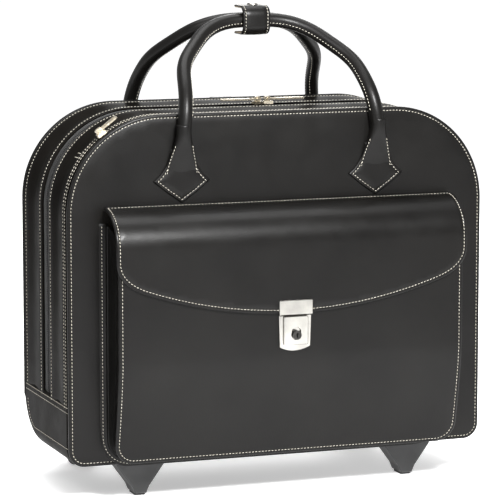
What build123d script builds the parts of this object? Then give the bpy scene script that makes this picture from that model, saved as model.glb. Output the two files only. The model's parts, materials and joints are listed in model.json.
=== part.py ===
"""Rolling laptop case: a leather case on two front feet and two rear wheels.

It opens on two arched zips, carries a flap pocket with a key lock on its front, has two rolled
top handles gathered by a snap wrap, and a two-stage telescopic handle behind its back panel.
Millimetres. +Z is up, the front faces -Y, and the floor is at Z = 0 under the middle of the case.
"""

import os

from build123d import *

# ---- driving dimensions ---------------------------------------------------------------------
WIDTH = 432.0            # across the stiff front and back panels
TOP = 374.0              # top edge of the panels
BOTTOM = 34.0            # underside of the case
FRONT_Y = -72.0          # outer face of the front panel
BACK_Y = 88.0            # outer face of the back panel
PANEL = 4.0              # leather on board
LEATHER = 3.0            # gusset leather with its lining
CORNER = 95.0            # upper corners of the panels
LOW_CORNER = 16.0        # lower corners of the panels
SEAM_Z = 93.0            # cross seam where the zips end and the one-piece base starts
REAR_ROUND = 40.0        # rounded lower rear edge of the base
GUSSET_INSET = 1.5       # the gussets sit this far inside the panel outline
JOINT_GAP = 0.6          # between the two halves of a closed zip chain

MAIN_ZIP_Y = 8.0         # line of the main zip
FRONT_ZIP_Y = -66.9      # line of the front zip
TAPE_INSET = 3.4         # outer face of the zip tapes
TAPE = 1.0               # tape thickness
CHAIN_INSET = 2.4        # crown of the zip chain
CHAIN = 2.0              # width of one half of the chain

POCKET_HALF = 178.0      # half width of the flap pocket
POCKET_LOW = 39.0
POCKET_BREAK = 138.0     # height where the leaning pocket front turns upright
POCKET_TOP = 247.0
POCKET_FRONT_Y = -115.0  # outer face of the upright part
POCKET_FOOT_Y = -97.0    # outer face at the foot of the pocket
POCKET_WALL = 2.6
POCKET_CORNER = 20.0

FLAP_HALF = 181.0
FLAP_AXIS_Y = -76.2
FLAP_AXIS_Z = 284.6
FLAP_ROOT = 2.0          # radius of the rolled leather at the flap's hinge line
FLAP_OUTER_Y = -118.6
FLAP_THICK = 3.0
FLAP_SIDE_Z = 238.0      # where the flap's straight sides end
FLAP_SHOULDER_Z = 206.0
FLAP_TIP_Z = 181.0

HANDLE_RADIUS = 7.0
HANDLE_HALF = 101.0      # half distance between the two ends of one handle
HANDLE_STANDOFF = 8.5    # handle axis out from the panel face
HANDLE_PIVOT_Z = 346.0
HANDLE_BEND_Z = 384.0    # where the handle leans in over the case
HANDLE_TOP_Z = 458.0
HANDLE_SPACING = 14.6    # between the two handles' axes where the wrap gathers them
MIDDLE_Y = (FRONT_Y + BACK_Y) / 2
TAB_THICK = 3.0

WRAP_WIDTH = 29.0
WRAP_WALL = 3.0
WRAP_ROOM = 11.5         # half height inside the wrap
WRAP_LIP = 2.0           # reach of the open rear lips past the rear handle's axis

WHEEL_RADIUS = 25.0
WHEEL_WIDTH = 26.0
WHEEL_X = 152.5
WHEEL_Y = 98.0
AXLE_RADIUS = 3.0
AXLE_PLAY = 0.05
WELL_CLEARANCE = 2.7
HOUSING_WALL = 4.0

FOOT_X = 141.0
FOOT_Y = -52.0
FOOT_DEPTH = 26.0
PAD = 2.0

TUBE_X = 46.0            # trolley tubes, either side of the middle
TUBE_Y = 97.0
TUBE_LOW = 80.0
TUBE_TOP = 345.0
TUBE_WALL = 1.2
TUBE_PLAY = 0.3
OUTER_TUBE = (20.0, 13.0)
COVER_HALF = 62.0
COVER_Y = 107.0
GRIP_TOP = 372.0

HALF = WIDTH / 2
LEFT_RIGHT = (-1, 1)


# ---- shared outlines and helpers -------------------------------------------------------------
def panel_outline(inset=0.0, low=BOTTOM, low_corner=LOW_CORNER, mode=Mode.ADD):
    """The case's outline seen from the front, drawn inside a sketch of the XZ plane."""
    half, top, corner = HALF - inset, TOP - inset, CORNER - inset
    with BuildLine() as outline:
        FilletPolyline(
            (0, low), (-half, low), (-half, top), (half, top), (half, low), (0, low),
            radius=[0, low_corner, corner, corner, low_corner],
            close=True,
        )
    make_face(outline.line, mode=mode)


def facing_front(y):
    """Sketch plane at depth y. An extrusion from it grows towards the front, -Y."""
    return Plane.XZ.offset(-y)


def facing_right(x):
    """Sketch plane at x, with its own x along +Y and its own y along +Z."""
    return Plane.YZ.offset(x)


def arched_band(front_y, rear_y, outer_inset, inner_inset):
    """A band that follows the outline from seam to seam, open below."""
    with BuildSketch(facing_front(rear_y)) as band:
        panel_outline(outer_inset, low=SEAM_Z + 0.2, low_corner=0)
        panel_outline(inner_inset, low=SEAM_Z - 5, low_corner=0, mode=Mode.SUBTRACT)
    extrude(band.sketch, amount=rear_y - front_y)


def zip_half(chain_front, chain_rear, tape_front, tape_rear):
    """Half of a zip: a textile tape and its row of teeth, as one arched strip."""
    arched_band(tape_front, tape_rear, TAPE_INSET, TAPE_INSET + TAPE)
    arched_band(chain_front, chain_rear, CHAIN_INSET, TAPE_INSET + TAPE)


def save(builder, name):
    """Names a finished piece and writes it."""
    builder.part.label = name
    export_step(builder.part, f"parts/{name}.step")


os.makedirs("parts", exist_ok=True)

# ---- the case: back panel, rear gusset and one-piece base ------------------------------------
base_rear_z = BOTTOM + REAR_ROUND
base_round_y = BACK_Y - REAR_ROUND

with BuildPart() as back_panel:
    with BuildSketch(facing_front(BACK_Y)):
        panel_outline(low=base_rear_z + 0.1, low_corner=0)
    extrude(amount=PANEL)
save(back_panel, "back_panel")

BOARD_FACE_Y = BACK_Y - PANEL - 0.1
with BuildPart() as back_board:
    with BuildSketch(facing_front(BOARD_FACE_Y)):
        panel_outline(8, low=base_rear_z + 12, low_corner=LOW_CORNER)
    extrude(amount=2)
save(back_board, "back_board")

REAR_GUSSET_FRONT = 20.0
gusset_inner = GUSSET_INSET + LEATHER
with BuildPart() as rear_gusset:
    arched_band(REAR_GUSSET_FRONT, BACK_Y - PANEL - 0.1, GUSSET_INSET, gusset_inner)
save(rear_gusset, "rear_gusset")

main_rear_chain = MAIN_ZIP_Y + JOINT_GAP / 2
with BuildPart() as main_zip_rear:
    zip_half(main_rear_chain, main_rear_chain + CHAIN, main_rear_chain, REAR_GUSSET_FRONT - 0.1)
save(main_zip_rear, "main_zip_rear_half")

BASE_FRONT_Y = FRONT_Y + PANEL + 0.4


def base_section(inset):
    """The base seen from the side: flat below, rounded up to the back panel."""
    rear, low = BACK_Y - inset, BOTTOM + inset
    upper_rear = BACK_Y - PANEL - 0.3 - max(0, inset - PANEL)
    with BuildLine() as outline:
        FilletPolyline(
            (BASE_FRONT_Y - inset, low), (rear, low), (rear, base_rear_z), (upper_rear, base_rear_z),
            (upper_rear, SEAM_Z + inset), (BASE_FRONT_Y - inset, SEAM_Z + inset),
            radius=[0, REAR_ROUND - inset - 0.5, 0, 0, 0, 0],
            close=True,
        )
    make_face(outline.line)


def base_block(inset):
    """The base as a closed block, inset from its outer skin."""
    half = HALF - GUSSET_INSET - inset
    with BuildPart(mode=Mode.PRIVATE) as block:
        with BuildSketch(facing_right(-half)):
            base_section(inset)
        extrude(amount=2 * half)
        with BuildSketch(facing_front(BACK_Y + 1)):
            with BuildLine():
                FilletPolyline(
                    (-half, SEAM_Z + 20), (-half, BOTTOM + inset), (half, BOTTOM + inset), (half, SEAM_Z + 20),
                    radius=[0, LOW_CORNER - inset, LOW_CORNER - inset, 0],
                    close=True,
                )
            make_face()
        extrude(amount=BACK_Y - FRONT_Y + 20, mode=Mode.INTERSECT)
    return block.part


SCREW_HOLE = 2.0
base_outer = base_block(0)
base_inner = base_block(LEATHER)
with BuildPart() as base_gusset:
    add(base_outer)
    add(base_inner, mode=Mode.SUBTRACT)
    with BuildSketch(Plane.XY.offset(BOTTOM - 1)):
        with Locations(*[(side * FOOT_X, FOOT_Y) for side in LEFT_RIGHT]):
            Circle(SCREW_HOLE)
    extrude(amount=LEATHER + 2, mode=Mode.SUBTRACT)
save(base_gusset, "base_gusset")

BASE_BOARD = 3.0
base_board_low = BOTTOM + LEATHER + 0.1
base_board_y = (BASE_FRONT_Y + 4 + base_round_y) / 2
base_board_depth = base_round_y - BASE_FRONT_Y - 4
with BuildPart() as base_board:
    with BuildSketch(Plane.XY.offset(base_board_low)):
        with Locations((0, base_board_y)):
            RectangleRounded(2 * (HALF - 18), base_board_depth, 8)
        with Locations(*[(side * FOOT_X, FOOT_Y) for side in LEFT_RIGHT]):
            Circle(SCREW_HOLE, mode=Mode.SUBTRACT)
    extrude(amount=BASE_BOARD)
save(base_board, "base_board")

# Padded laptop sleeve, open at the top, against the back board.
SLEEVE_HALF = 190.0
SLEEVE_LOW = base_rear_z + 6
SLEEVE_TOP = 300.0
SLEEVE_REAR_Y = BOARD_FACE_Y - 2.3
SLEEVE_DEPTH = 30.0
SLEEVE_PAD = 4.0
with BuildPart() as laptop_sleeve:
    with BuildSketch(Plane.XY.offset(SLEEVE_LOW)):
        with Locations((0, SLEEVE_REAR_Y - SLEEVE_DEPTH / 2)):
            RectangleRounded(2 * SLEEVE_HALF, SLEEVE_DEPTH, 6)
    extrude(amount=SLEEVE_TOP - SLEEVE_LOW)
    with BuildSketch(Plane.XY.offset(SLEEVE_LOW + SLEEVE_PAD)):
        with Locations((0, SLEEVE_REAR_Y - SLEEVE_DEPTH / 2)):
            RectangleRounded(2 * (SLEEVE_HALF - SLEEVE_PAD), SLEEVE_DEPTH - 2 * SLEEVE_PAD, 3)
    extrude(amount=SLEEVE_TOP, mode=Mode.SUBTRACT)
save(laptop_sleeve, "laptop_sleeve")

# ---- front feet ------------------------------------------------------------------------------
FOOT_TOP_HALF = 24.5
FOOT_TOE_HALF = 8.6
FOOT_FLANGE = 3.0
foot_top = BOTTOM - 0.05
toe_z = PAD + 7.0
foot_rear_y = FOOT_Y + FOOT_DEPTH / 2
with BuildPart() as front_feet:
    with BuildSketch(facing_front(foot_rear_y)):
        with Locations(*[(side * FOOT_X, 0) for side in LEFT_RIGHT]):
            Polygon(
                (FOOT_TOE_HALF, toe_z), (FOOT_TOP_HALF, foot_top - FOOT_FLANGE),
                (FOOT_TOP_HALF, foot_top), (-FOOT_TOP_HALF, foot_top),
                (-FOOT_TOP_HALF, foot_top - FOOT_FLANGE), (-FOOT_TOE_HALF, toe_z),
                (-FOOT_TOE_HALF + 3, PAD + 0.05), (FOOT_TOE_HALF - 3, PAD + 0.05),
                align=None,
            )
    extrude(amount=FOOT_DEPTH)
    chamfer(front_feet.faces().group_by(Axis.Y)[0].edges(), 1.2)
    with BuildSketch(Plane.XY.offset(BOTTOM + 1)):
        with Locations(*[(side * FOOT_X, FOOT_Y) for side in LEFT_RIGHT]):
            Circle(SCREW_HOLE)
    extrude(amount=-17, mode=Mode.SUBTRACT)
save(front_feet, "front_feet")

with BuildPart() as foot_pads:
    with BuildSketch(Plane.XY):
        with Locations(*[(side * FOOT_X, FOOT_Y) for side in LEFT_RIGHT]):
            RectangleRounded(2 * (FOOT_TOE_HALF - 3.2), FOOT_DEPTH - 6, 2)
    extrude(amount=PAD)
save(foot_pads, "foot_pads")

screw_head_z = base_board_low + BASE_BOARD + 0.05
with BuildPart() as foot_screws:
    with BuildSketch(Plane.XY.offset(BOTTOM - 14)):
        with Locations(*[(side * FOOT_X, FOOT_Y) for side in LEFT_RIGHT]):
            Circle(SCREW_HOLE)
    extrude(amount=screw_head_z - BOTTOM + 14)
    with BuildSketch(Plane.XY.offset(screw_head_z)):
        with Locations(*[(side * FOOT_X, FOOT_Y) for side in LEFT_RIGHT]):
            Circle(4.0)
    extrude(amount=2)
save(foot_screws, "foot_screws")

# ---- rear wheels, their housings and the kick plate ------------------------------------------
HOUSING_TOP = 68.0
HOUSING_LOW = 28.0
HOUSING_REAR_Y = 108.0
HOUSING_FRONT_Y = 52.0
well_radius = WHEEL_RADIUS + WELL_CLEARANCE
well_half = WHEEL_WIDTH / 2 + 2.5
housing_half = well_half + HOUSING_WALL

with BuildPart() as wheel_housings:
    for side in LEFT_RIGHT:
        with BuildSketch(facing_right(side * WHEEL_X - housing_half)):
            with Locations(((HOUSING_FRONT_Y + HOUSING_REAR_Y) / 2, (HOUSING_LOW + HOUSING_TOP) / 2)):
                Rectangle(HOUSING_REAR_Y - HOUSING_FRONT_Y, HOUSING_TOP - HOUSING_LOW)
            with Locations((base_round_y, base_rear_z)):
                Circle(REAR_ROUND + 0.3, mode=Mode.SUBTRACT)
        extrude(amount=2 * housing_half)
        with BuildSketch(facing_right(side * WHEEL_X - well_half)):
            with Locations((WHEEL_Y, WHEEL_RADIUS)):
                Circle(well_radius)
        extrude(amount=2 * well_half, mode=Mode.SUBTRACT)
        with BuildSketch(facing_right(side * WHEEL_X - housing_half - 1)):
            with Locations((WHEEL_Y, WHEEL_RADIUS)):
                Circle(AXLE_RADIUS)
        extrude(amount=2 * housing_half + 2, mode=Mode.SUBTRACT)
save(wheel_housings, "wheel_housings")

with BuildPart() as wheel_axles:
    for side in LEFT_RIGHT:
        with BuildSketch(facing_right(side * WHEEL_X - housing_half)):
            with Locations((WHEEL_Y, WHEEL_RADIUS)):
                Circle(AXLE_RADIUS)
        extrude(amount=2 * housing_half)
save(wheel_axles, "wheel_axles")

KICK_HALF = WHEEL_X - housing_half - 0.5
KICK_THICK = 2.5
with BuildPart() as kick_plate:
    with BuildSketch(facing_right(-KICK_HALF)):
        with Locations((base_round_y, base_rear_z)):
            Circle(REAR_ROUND + 0.3 + KICK_THICK)
            Circle(REAR_ROUND + 0.3, mode=Mode.SUBTRACT)
            Rectangle(200, 200, align=(Align.MAX, Align.CENTER), mode=Mode.SUBTRACT)
            Rectangle(200, 200, align=(Align.CENTER, Align.MIN), mode=Mode.SUBTRACT)
    extrude(amount=2 * KICK_HALF)
save(kick_plate, "kick_plate")

TYRE_INNER = 18.0
for side, word in ((-1, "left"), (1, "right")):
    centre_x = side * WHEEL_X
    with BuildPart() as tyre:
        with BuildSketch(facing_right(centre_x - WHEEL_WIDTH / 2)):
            with Locations((WHEEL_Y, WHEEL_RADIUS)):
                Circle(WHEEL_RADIUS)
                Circle(TYRE_INNER, mode=Mode.SUBTRACT)
        extrude(amount=WHEEL_WIDTH)
        fillet(tyre.edges().filter_by(GeomType.CIRCLE).group_by(SortBy.RADIUS)[-1], 4)
    save(tyre, f"{word}_tyre")
    with BuildPart() as hub:
        with BuildSketch(facing_right(centre_x - WHEEL_WIDTH / 2 + 1.5)):
            with Locations((WHEEL_Y, WHEEL_RADIUS)):
                Circle(TYRE_INNER)
                Circle(AXLE_RADIUS + AXLE_PLAY, mode=Mode.SUBTRACT)
        extrude(amount=WHEEL_WIDTH - 3)
        for face_x, depth in ((centre_x - WHEEL_WIDTH / 2 + 1.5, 7), (centre_x + WHEEL_WIDTH / 2 - 1.5, -7)):
            with BuildSketch(facing_right(face_x)):
                with Locations((WHEEL_Y, WHEEL_RADIUS)):
                    Circle(TYRE_INNER - 2.5)
                    Circle(AXLE_RADIUS + 3.5, mode=Mode.SUBTRACT)
                    with PolarLocations(0, 5):
                        Rectangle(TYRE_INNER, 3, align=(Align.MIN, Align.CENTER), mode=Mode.SUBTRACT)
            extrude(amount=depth, mode=Mode.SUBTRACT)
    save(hub, f"{word}_hub")

# ---- telescopic handle -----------------------------------------------------------------------
TROLLEY_STANDOFF = 0.3
cover_front_y = BACK_Y + TROLLEY_STANDOFF
COVER_WALL = 2.5
COVER_LOW = 76.0


def tube_sections(width, depth, wall):
    """Both tubes' sections, in a sketch of the XY plane."""
    with Locations(*[(side * TUBE_X, TUBE_Y) for side in LEFT_RIGHT]):
        RectangleRounded(width, depth, 2)
        RectangleRounded(width - 2 * wall, depth - 2 * wall, 1.2, mode=Mode.SUBTRACT)


with BuildPart() as trolley_outer_tubes:
    with BuildSketch(Plane.XY.offset(TUBE_LOW)):
        tube_sections(*OUTER_TUBE, TUBE_WALL)
    extrude(amount=TUBE_TOP - TUBE_LOW)
save(trolley_outer_tubes, "trolley_outer_tubes")

shrink = 2 * (TUBE_WALL + TUBE_PLAY)
lower_tube = (OUTER_TUBE[0] - shrink, OUTER_TUBE[1] - shrink)
upper_tube = (lower_tube[0] - shrink, lower_tube[1] - shrink)
BEZEL_TOP = 352.0
LOWER_TUBE_TOP = 353.0
TRAVEL = 240.0

with BuildPart() as trolley_lower_tubes:
    with BuildSketch(Plane.XY.offset(TUBE_LOW + 4)):
        tube_sections(*lower_tube, TUBE_WALL)
    extrude(amount=LOWER_TUBE_TOP - TUBE_LOW - 4)
save(trolley_lower_tubes, "trolley_lower_tubes")

with BuildPart() as trolley_upper_tubes:
    with BuildSketch(Plane.XY.offset(TUBE_LOW + 8)):
        tube_sections(*upper_tube, TUBE_WALL)
    extrude(amount=LOWER_TUBE_TOP + 0.5 - TUBE_LOW - 8)
save(trolley_upper_tubes, "trolley_upper_tubes")

with BuildPart() as trolley_bezel:
    with BuildSketch(Plane.XY.offset(TUBE_TOP + 0.3)):
        with Locations((0, (cover_front_y + COVER_Y) / 2)):
            RectangleRounded(2 * COVER_HALF, COVER_Y - cover_front_y, 4)
        with Locations(*[(side * TUBE_X, TUBE_Y) for side in LEFT_RIGHT]):
            RectangleRounded(lower_tube[0] + 0.8, lower_tube[1] + 0.8, 2, mode=Mode.SUBTRACT)
    extrude(amount=BEZEL_TOP - TUBE_TOP - 0.3)
save(trolley_bezel, "trolley_bezel")

with BuildPart() as trolley_bracket:
    with BuildSketch(Plane.XY.offset(COVER_LOW)):
        with Locations((0, TUBE_Y - 0.3)):
            RectangleRounded(2 * COVER_HALF - 2 * COVER_WALL - 1, OUTER_TUBE[1] + 2.2, 3)
    extrude(amount=TUBE_LOW + 8 - COVER_LOW)
    with BuildSketch(Plane.XY.offset(TUBE_LOW)):
        with Locations(*[(side * TUBE_X, TUBE_Y) for side in LEFT_RIGHT]):
            RectangleRounded(OUTER_TUBE[0], OUTER_TUBE[1], 2)
    extrude(amount=20, mode=Mode.SUBTRACT)
save(trolley_bracket, "trolley_bracket")

with BuildPart() as trolley_cover:
    with BuildSketch(Plane.XY.offset(COVER_LOW)):
        with Locations((0, cover_front_y)):
            Rectangle(2 * COVER_HALF, COVER_Y - cover_front_y, align=(Align.CENTER, Align.MIN))
    extrude(amount=TUBE_TOP + 0.2 - COVER_LOW)
    fillet(trolley_cover.edges().filter_by(Axis.Z).group_by(Axis.Y)[-1], 5)
    with BuildSketch(Plane.XY.offset(COVER_LOW - 1)):
        with Locations((0, cover_front_y - 1)):
            Rectangle(
                2 * (COVER_HALF - COVER_WALL), COVER_Y - COVER_WALL - cover_front_y + 1,
                align=(Align.CENTER, Align.MIN),
            )
    extrude(amount=TUBE_TOP, mode=Mode.SUBTRACT)
save(trolley_cover, "trolley_cover")

GRIP_HALF = 58.0
GRIP_LOW = LOWER_TUBE_TOP + 0.5
GRIP_FRONT_Y = BACK_Y + 0.8
GRIP_REAR_Y = COVER_Y - 0.5
GRIP_GAP_HALF = 36.0
GRIP_BAR_LOW = 362.0
BUTTON_HALF = 12.0
BUTTON_TRAVEL = 2.0
button_pocket_low = GRIP_TOP - 7
with BuildPart() as trolley_grip:
    with BuildSketch(Plane.XY.offset(GRIP_LOW)):
        with Locations((0, (GRIP_FRONT_Y + GRIP_REAR_Y) / 2)):
            RectangleRounded(2 * GRIP_HALF, GRIP_REAR_Y - GRIP_FRONT_Y, 6)
    extrude(amount=GRIP_TOP - GRIP_LOW)
    fillet(trolley_grip.faces().sort_by(Axis.Z)[-1].edges(), 3)
    with BuildSketch(facing_front(GRIP_REAR_Y + 1)):
        with Locations((0, GRIP_LOW - 1)):
            Rectangle(2 * GRIP_GAP_HALF, GRIP_BAR_LOW - GRIP_LOW + 1, align=(Align.CENTER, Align.MIN))
    extrude(amount=GRIP_REAR_Y - GRIP_FRONT_Y + 2, mode=Mode.SUBTRACT)
    with BuildSketch(Plane.XY.offset(button_pocket_low)):
        with Locations((0, TUBE_Y)):
            RectangleRounded(2 * BUTTON_HALF, 9, 2)
    extrude(amount=10, mode=Mode.SUBTRACT)
save(trolley_grip, "trolley_grip")

with BuildPart() as grip_button:
    with BuildSketch(Plane.XY.offset(button_pocket_low + BUTTON_TRAVEL + 0.5)):
        with Locations((0, TUBE_Y)):
            RectangleRounded(2 * BUTTON_HALF - 0.8, 8.2, 1.6)
    extrude(amount=GRIP_TOP + 1.5 - button_pocket_low - BUTTON_TRAVEL - 0.5)
    fillet(grip_button.faces().sort_by(Axis.Z)[-1].edges(), 0.8)
save(grip_button, "grip_button")

# ---- middle shell: gusset between the two zips, padded divider and organiser -----------------
MIDDLE_GUSSET_REAR = -4.0
MIDDLE_GUSSET_FRONT = -57.0
with BuildPart() as middle_gusset:
    arched_band(MIDDLE_GUSSET_FRONT, MIDDLE_GUSSET_REAR, GUSSET_INSET, gusset_inner)
save(middle_gusset, "middle_gusset")

main_front_chain = MAIN_ZIP_Y - JOINT_GAP / 2
with BuildPart() as main_zip_front:
    zip_half(main_front_chain - CHAIN, main_front_chain, MIDDLE_GUSSET_REAR + 0.1, main_front_chain)
save(main_zip_front, "main_zip_front_half")

front_rear_chain = FRONT_ZIP_Y + JOINT_GAP / 2
with BuildPart() as front_zip_rear:
    zip_half(front_rear_chain, front_rear_chain + CHAIN, front_rear_chain, MIDDLE_GUSSET_FRONT - 0.1)
save(front_zip_rear, "front_zip_rear_half")

DIVIDER_FRONT = -3.0
DIVIDER = 8.0
with BuildPart() as padded_divider:
    with BuildSketch(facing_front(DIVIDER_FRONT + DIVIDER)):
        panel_outline(gusset_inner + 0.8, low=43, low_corner=LOW_CORNER)
    extrude(amount=DIVIDER)
save(padded_divider, "padded_divider")

ORGANISER_HALF = 150.0
ORGANISER_LOW = 60.0
ORGANISER_TOP = 230.0
ORGANISER_DEPTH = 16.0
ORGANISER_WALL = 2.0
organiser_rear = DIVIDER_FRONT - 0.1
with BuildPart() as organiser_pocket:
    with BuildSketch(facing_front(organiser_rear)):
        with Locations((0, ORGANISER_LOW)):
            Rectangle(2 * ORGANISER_HALF, ORGANISER_TOP - ORGANISER_LOW, align=(Align.CENTER, Align.MIN))
    extrude(amount=ORGANISER_DEPTH)
    fillet(organiser_pocket.edges().filter_by(Axis.Y).group_by(Axis.Z)[0], 12)
    with BuildSketch(facing_front(organiser_rear + 1)):
        with Locations((0, ORGANISER_LOW + ORGANISER_WALL)):
            Rectangle(
                2 * (ORGANISER_HALF - ORGANISER_WALL), ORGANISER_TOP, align=(Align.CENTER, Align.MIN)
            )
    extrude(amount=ORGANISER_DEPTH - ORGANISER_WALL + 1, mode=Mode.SUBTRACT)
save(organiser_pocket, "organiser_pocket")

# ---- front shell: front panel and flap pocket ------------------------------------------------
with BuildPart() as front_panel:
    with BuildSketch(facing_front(FRONT_Y + PANEL)):
        panel_outline()
    extrude(amount=PANEL)
save(front_panel, "front_panel")

panel_inner_y = FRONT_Y + PANEL
with BuildPart() as front_board:
    with BuildSketch(facing_front(panel_inner_y + 2.1)):
        panel_outline(12, low=BOTTOM + 10)
    extrude(amount=2)
save(front_board, "front_board")

front_front_chain = FRONT_ZIP_Y - JOINT_GAP / 2
with BuildPart() as front_zip_front:
    arched_band(panel_inner_y + 0.1, front_front_chain, CHAIN_INSET, 9)
save(front_zip_front, "front_zip_front_half")


def pocket_side(skin, rear_y, mode=Mode.ADD):
    """The pocket seen from the side, drawn skin millimetres inside its outer front."""
    with BuildLine() as outline:
        Polyline(
            (rear_y, POCKET_LOW - 1), (POCKET_FOOT_Y + skin, POCKET_LOW - 1),
            (POCKET_FRONT_Y + skin, POCKET_BREAK), (POCKET_FRONT_Y + skin, POCKET_TOP),
            (rear_y, POCKET_TOP + 15), close=True,
        )
    make_face(outline.line, mode=mode)


def pocket_outline(inset, mode=Mode.ADD):
    """The pocket seen from the front."""
    half, low, top = POCKET_HALF - inset, POCKET_LOW + inset, POCKET_TOP + 20
    with BuildLine() as outline:
        FilletPolyline(
            (0, top), (-half, top), (-half, low), (half, low), (half, top), (0, top),
            radius=[0, 0, POCKET_CORNER - inset, POCKET_CORNER - inset, 0],
            close=True,
        )
    make_face(outline.line, mode=mode)


with BuildPart() as pocket_front:
    with BuildSketch(facing_front(FRONT_Y)):
        pocket_outline(0)
    extrude(amount=FRONT_Y - POCKET_FRONT_Y)
    with BuildSketch(facing_right(-POCKET_HALF)):
        with BuildLine():
            Polyline(
                (POCKET_FOOT_Y + POCKET_WALL, POCKET_LOW - 1), (POCKET_FRONT_Y + POCKET_WALL, POCKET_BREAK),
                (POCKET_FRONT_Y + POCKET_WALL, POCKET_TOP), (POCKET_FRONT_Y, POCKET_TOP),
                (POCKET_FRONT_Y, POCKET_BREAK), (POCKET_FOOT_Y, POCKET_LOW - 1), close=True,
            )
        make_face()
    extrude(amount=2 * POCKET_HALF, mode=Mode.INTERSECT)
save(pocket_front, "pocket_front")

with BuildPart() as pocket_gusset:
    with BuildSketch(facing_front(FRONT_Y - 0.05)):
        pocket_outline(0)
        pocket_outline(POCKET_WALL, mode=Mode.SUBTRACT)
    extrude(amount=FRONT_Y - POCKET_FRONT_Y)
    with BuildSketch(facing_right(-POCKET_HALF)):
        pocket_side(POCKET_WALL + 0.1, FRONT_Y - 0.05)
    extrude(amount=2 * POCKET_HALF, mode=Mode.INTERSECT)
save(pocket_gusset, "pocket_gusset")

# ---- flap ------------------------------------------------------------------------------------
flap_inner_y = FLAP_OUTER_Y + FLAP_THICK
FLAP_BEND_Z = 250.0
with BuildPart() as flap:
    with BuildSketch(facing_right(-FLAP_HALF)):
        with BuildLine():
            over_the_top = Spline(
                (FLAP_AXIS_Y, FLAP_AXIS_Z + FLAP_ROOT), (-98, 279), (FLAP_OUTER_Y, FLAP_BEND_Z),
                tangents=((-1, 0), (0, -1)),
            )
            Line(over_the_top @ 1, (FLAP_OUTER_Y, FLAP_TIP_Z))
            Line((FLAP_OUTER_Y, FLAP_TIP_Z), (flap_inner_y, FLAP_TIP_Z))
            Line((flap_inner_y, FLAP_TIP_Z), (flap_inner_y, FLAP_BEND_Z))
            under_the_top = Spline(
                (flap_inner_y, FLAP_BEND_Z), (-96.6, 276.1), (FLAP_AXIS_Y, FLAP_AXIS_Z - FLAP_ROOT + 1),
                tangents=((0, 1), (1, 0)),
            )
            ThreePointArc(
                under_the_top @ 1,
                (FLAP_AXIS_Y + (FLAP_ROOT - 0.5), FLAP_AXIS_Z + 0.5),
                over_the_top @ 0,
            )
        make_face()
    extrude(amount=2 * FLAP_HALF)
    with BuildSketch(facing_front(FRONT_Y)):
        with BuildLine():
            Polyline(
                (FLAP_HALF, FLAP_SIDE_Z), (FLAP_HALF, FLAP_AXIS_Z + 10),
                (-FLAP_HALF, FLAP_AXIS_Z + 10), (-FLAP_HALF, FLAP_SIDE_Z),
            )
            left_corner = ThreePointArc(
                (-FLAP_HALF, FLAP_SIDE_Z), (-172, 216.5), (-150, FLAP_SHOULDER_Z)
            )
            ThreePointArc(left_corner @ 1, (0, FLAP_TIP_Z), (150, FLAP_SHOULDER_Z))
            ThreePointArc((150, FLAP_SHOULDER_Z), (172, 216.5), (FLAP_HALF, FLAP_SIDE_Z))
        make_face()
    extrude(amount=60, mode=Mode.INTERSECT)
save(flap, "flap")

# ---- lock: hasp plate on the flap, body, thumb plate and key cylinder on the pocket ----------
LOCK_HALF = 16.8
LOCK_LOW = 144.0
LOCK_SPLIT = 179.2
LOCK_PLATE = 2.8
lock_face_y = POCKET_FRONT_Y - 0.02
THUMB_HALF = 12.5
THUMB_LOW = 150.0
THUMB_TRAVEL = 3.0
KEY_RADIUS = 4.5
KEY_Z = 160.0
with BuildPart() as lock_body:
    with BuildSketch(facing_front(lock_face_y)):
        with BuildLine():
            Polyline(
                (-LOCK_HALF + 1, LOCK_LOW + 4), (-LOCK_HALF, LOCK_SPLIT),
                (LOCK_HALF, LOCK_SPLIT), (LOCK_HALF - 1, LOCK_LOW + 4),
            )
            ThreePointArc((LOCK_HALF - 1, LOCK_LOW + 4), (0, LOCK_LOW), (-LOCK_HALF + 1, LOCK_LOW + 4))
        make_face()
    extrude(amount=LOCK_PLATE)
    chamfer(lock_body.faces().sort_by(Axis.Y)[0].edges(), 0.7)
    with BuildSketch(facing_front(lock_face_y + 1)):
        with Locations((0, KEY_Z)):
            Circle(KEY_RADIUS + 0.05)
    extrude(amount=LOCK_PLATE + 2, mode=Mode.SUBTRACT)
save(lock_body, "lock_body")

thumb_rear_y = lock_face_y - LOCK_PLATE - 0.3
with BuildPart() as lock_thumb_plate:
    with BuildSketch(facing_front(thumb_rear_y)):
        with Locations((0, (THUMB_LOW + LOCK_SPLIT - 0.8) / 2)):
            RectangleRounded(2 * THUMB_HALF, LOCK_SPLIT - 0.8 - THUMB_LOW, 1.5)
        with Locations((0, KEY_Z + THUMB_TRAVEL / 2)):
            SlotOverall(2 * KEY_RADIUS + 0.8 + THUMB_TRAVEL + 0.4, 2 * KEY_RADIUS + 0.8, 90, mode=Mode.SUBTRACT)
    extrude(amount=2.4)
    chamfer(lock_thumb_plate.faces().sort_by(Axis.Y)[0].outer_wire().edges(), 0.7)
save(lock_thumb_plate, "lock_thumb_plate")

key_face_y = -123.0
with BuildPart() as key_cylinder:
    with BuildSketch(facing_front(lock_face_y - 0.4)):
        with Locations((0, KEY_Z)):
            Circle(KEY_RADIUS)
    extrude(amount=lock_face_y - 0.4 - key_face_y)
    with BuildSketch(facing_front(key_face_y + 2)):
        with Locations((0, KEY_Z + 1)):
            Circle(1.2)
        with Locations((0, KEY_Z - 1)):
            Rectangle(1.1, 3.6)
    extrude(amount=4, mode=Mode.SUBTRACT)
save(key_cylinder, "key_cylinder")

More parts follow.
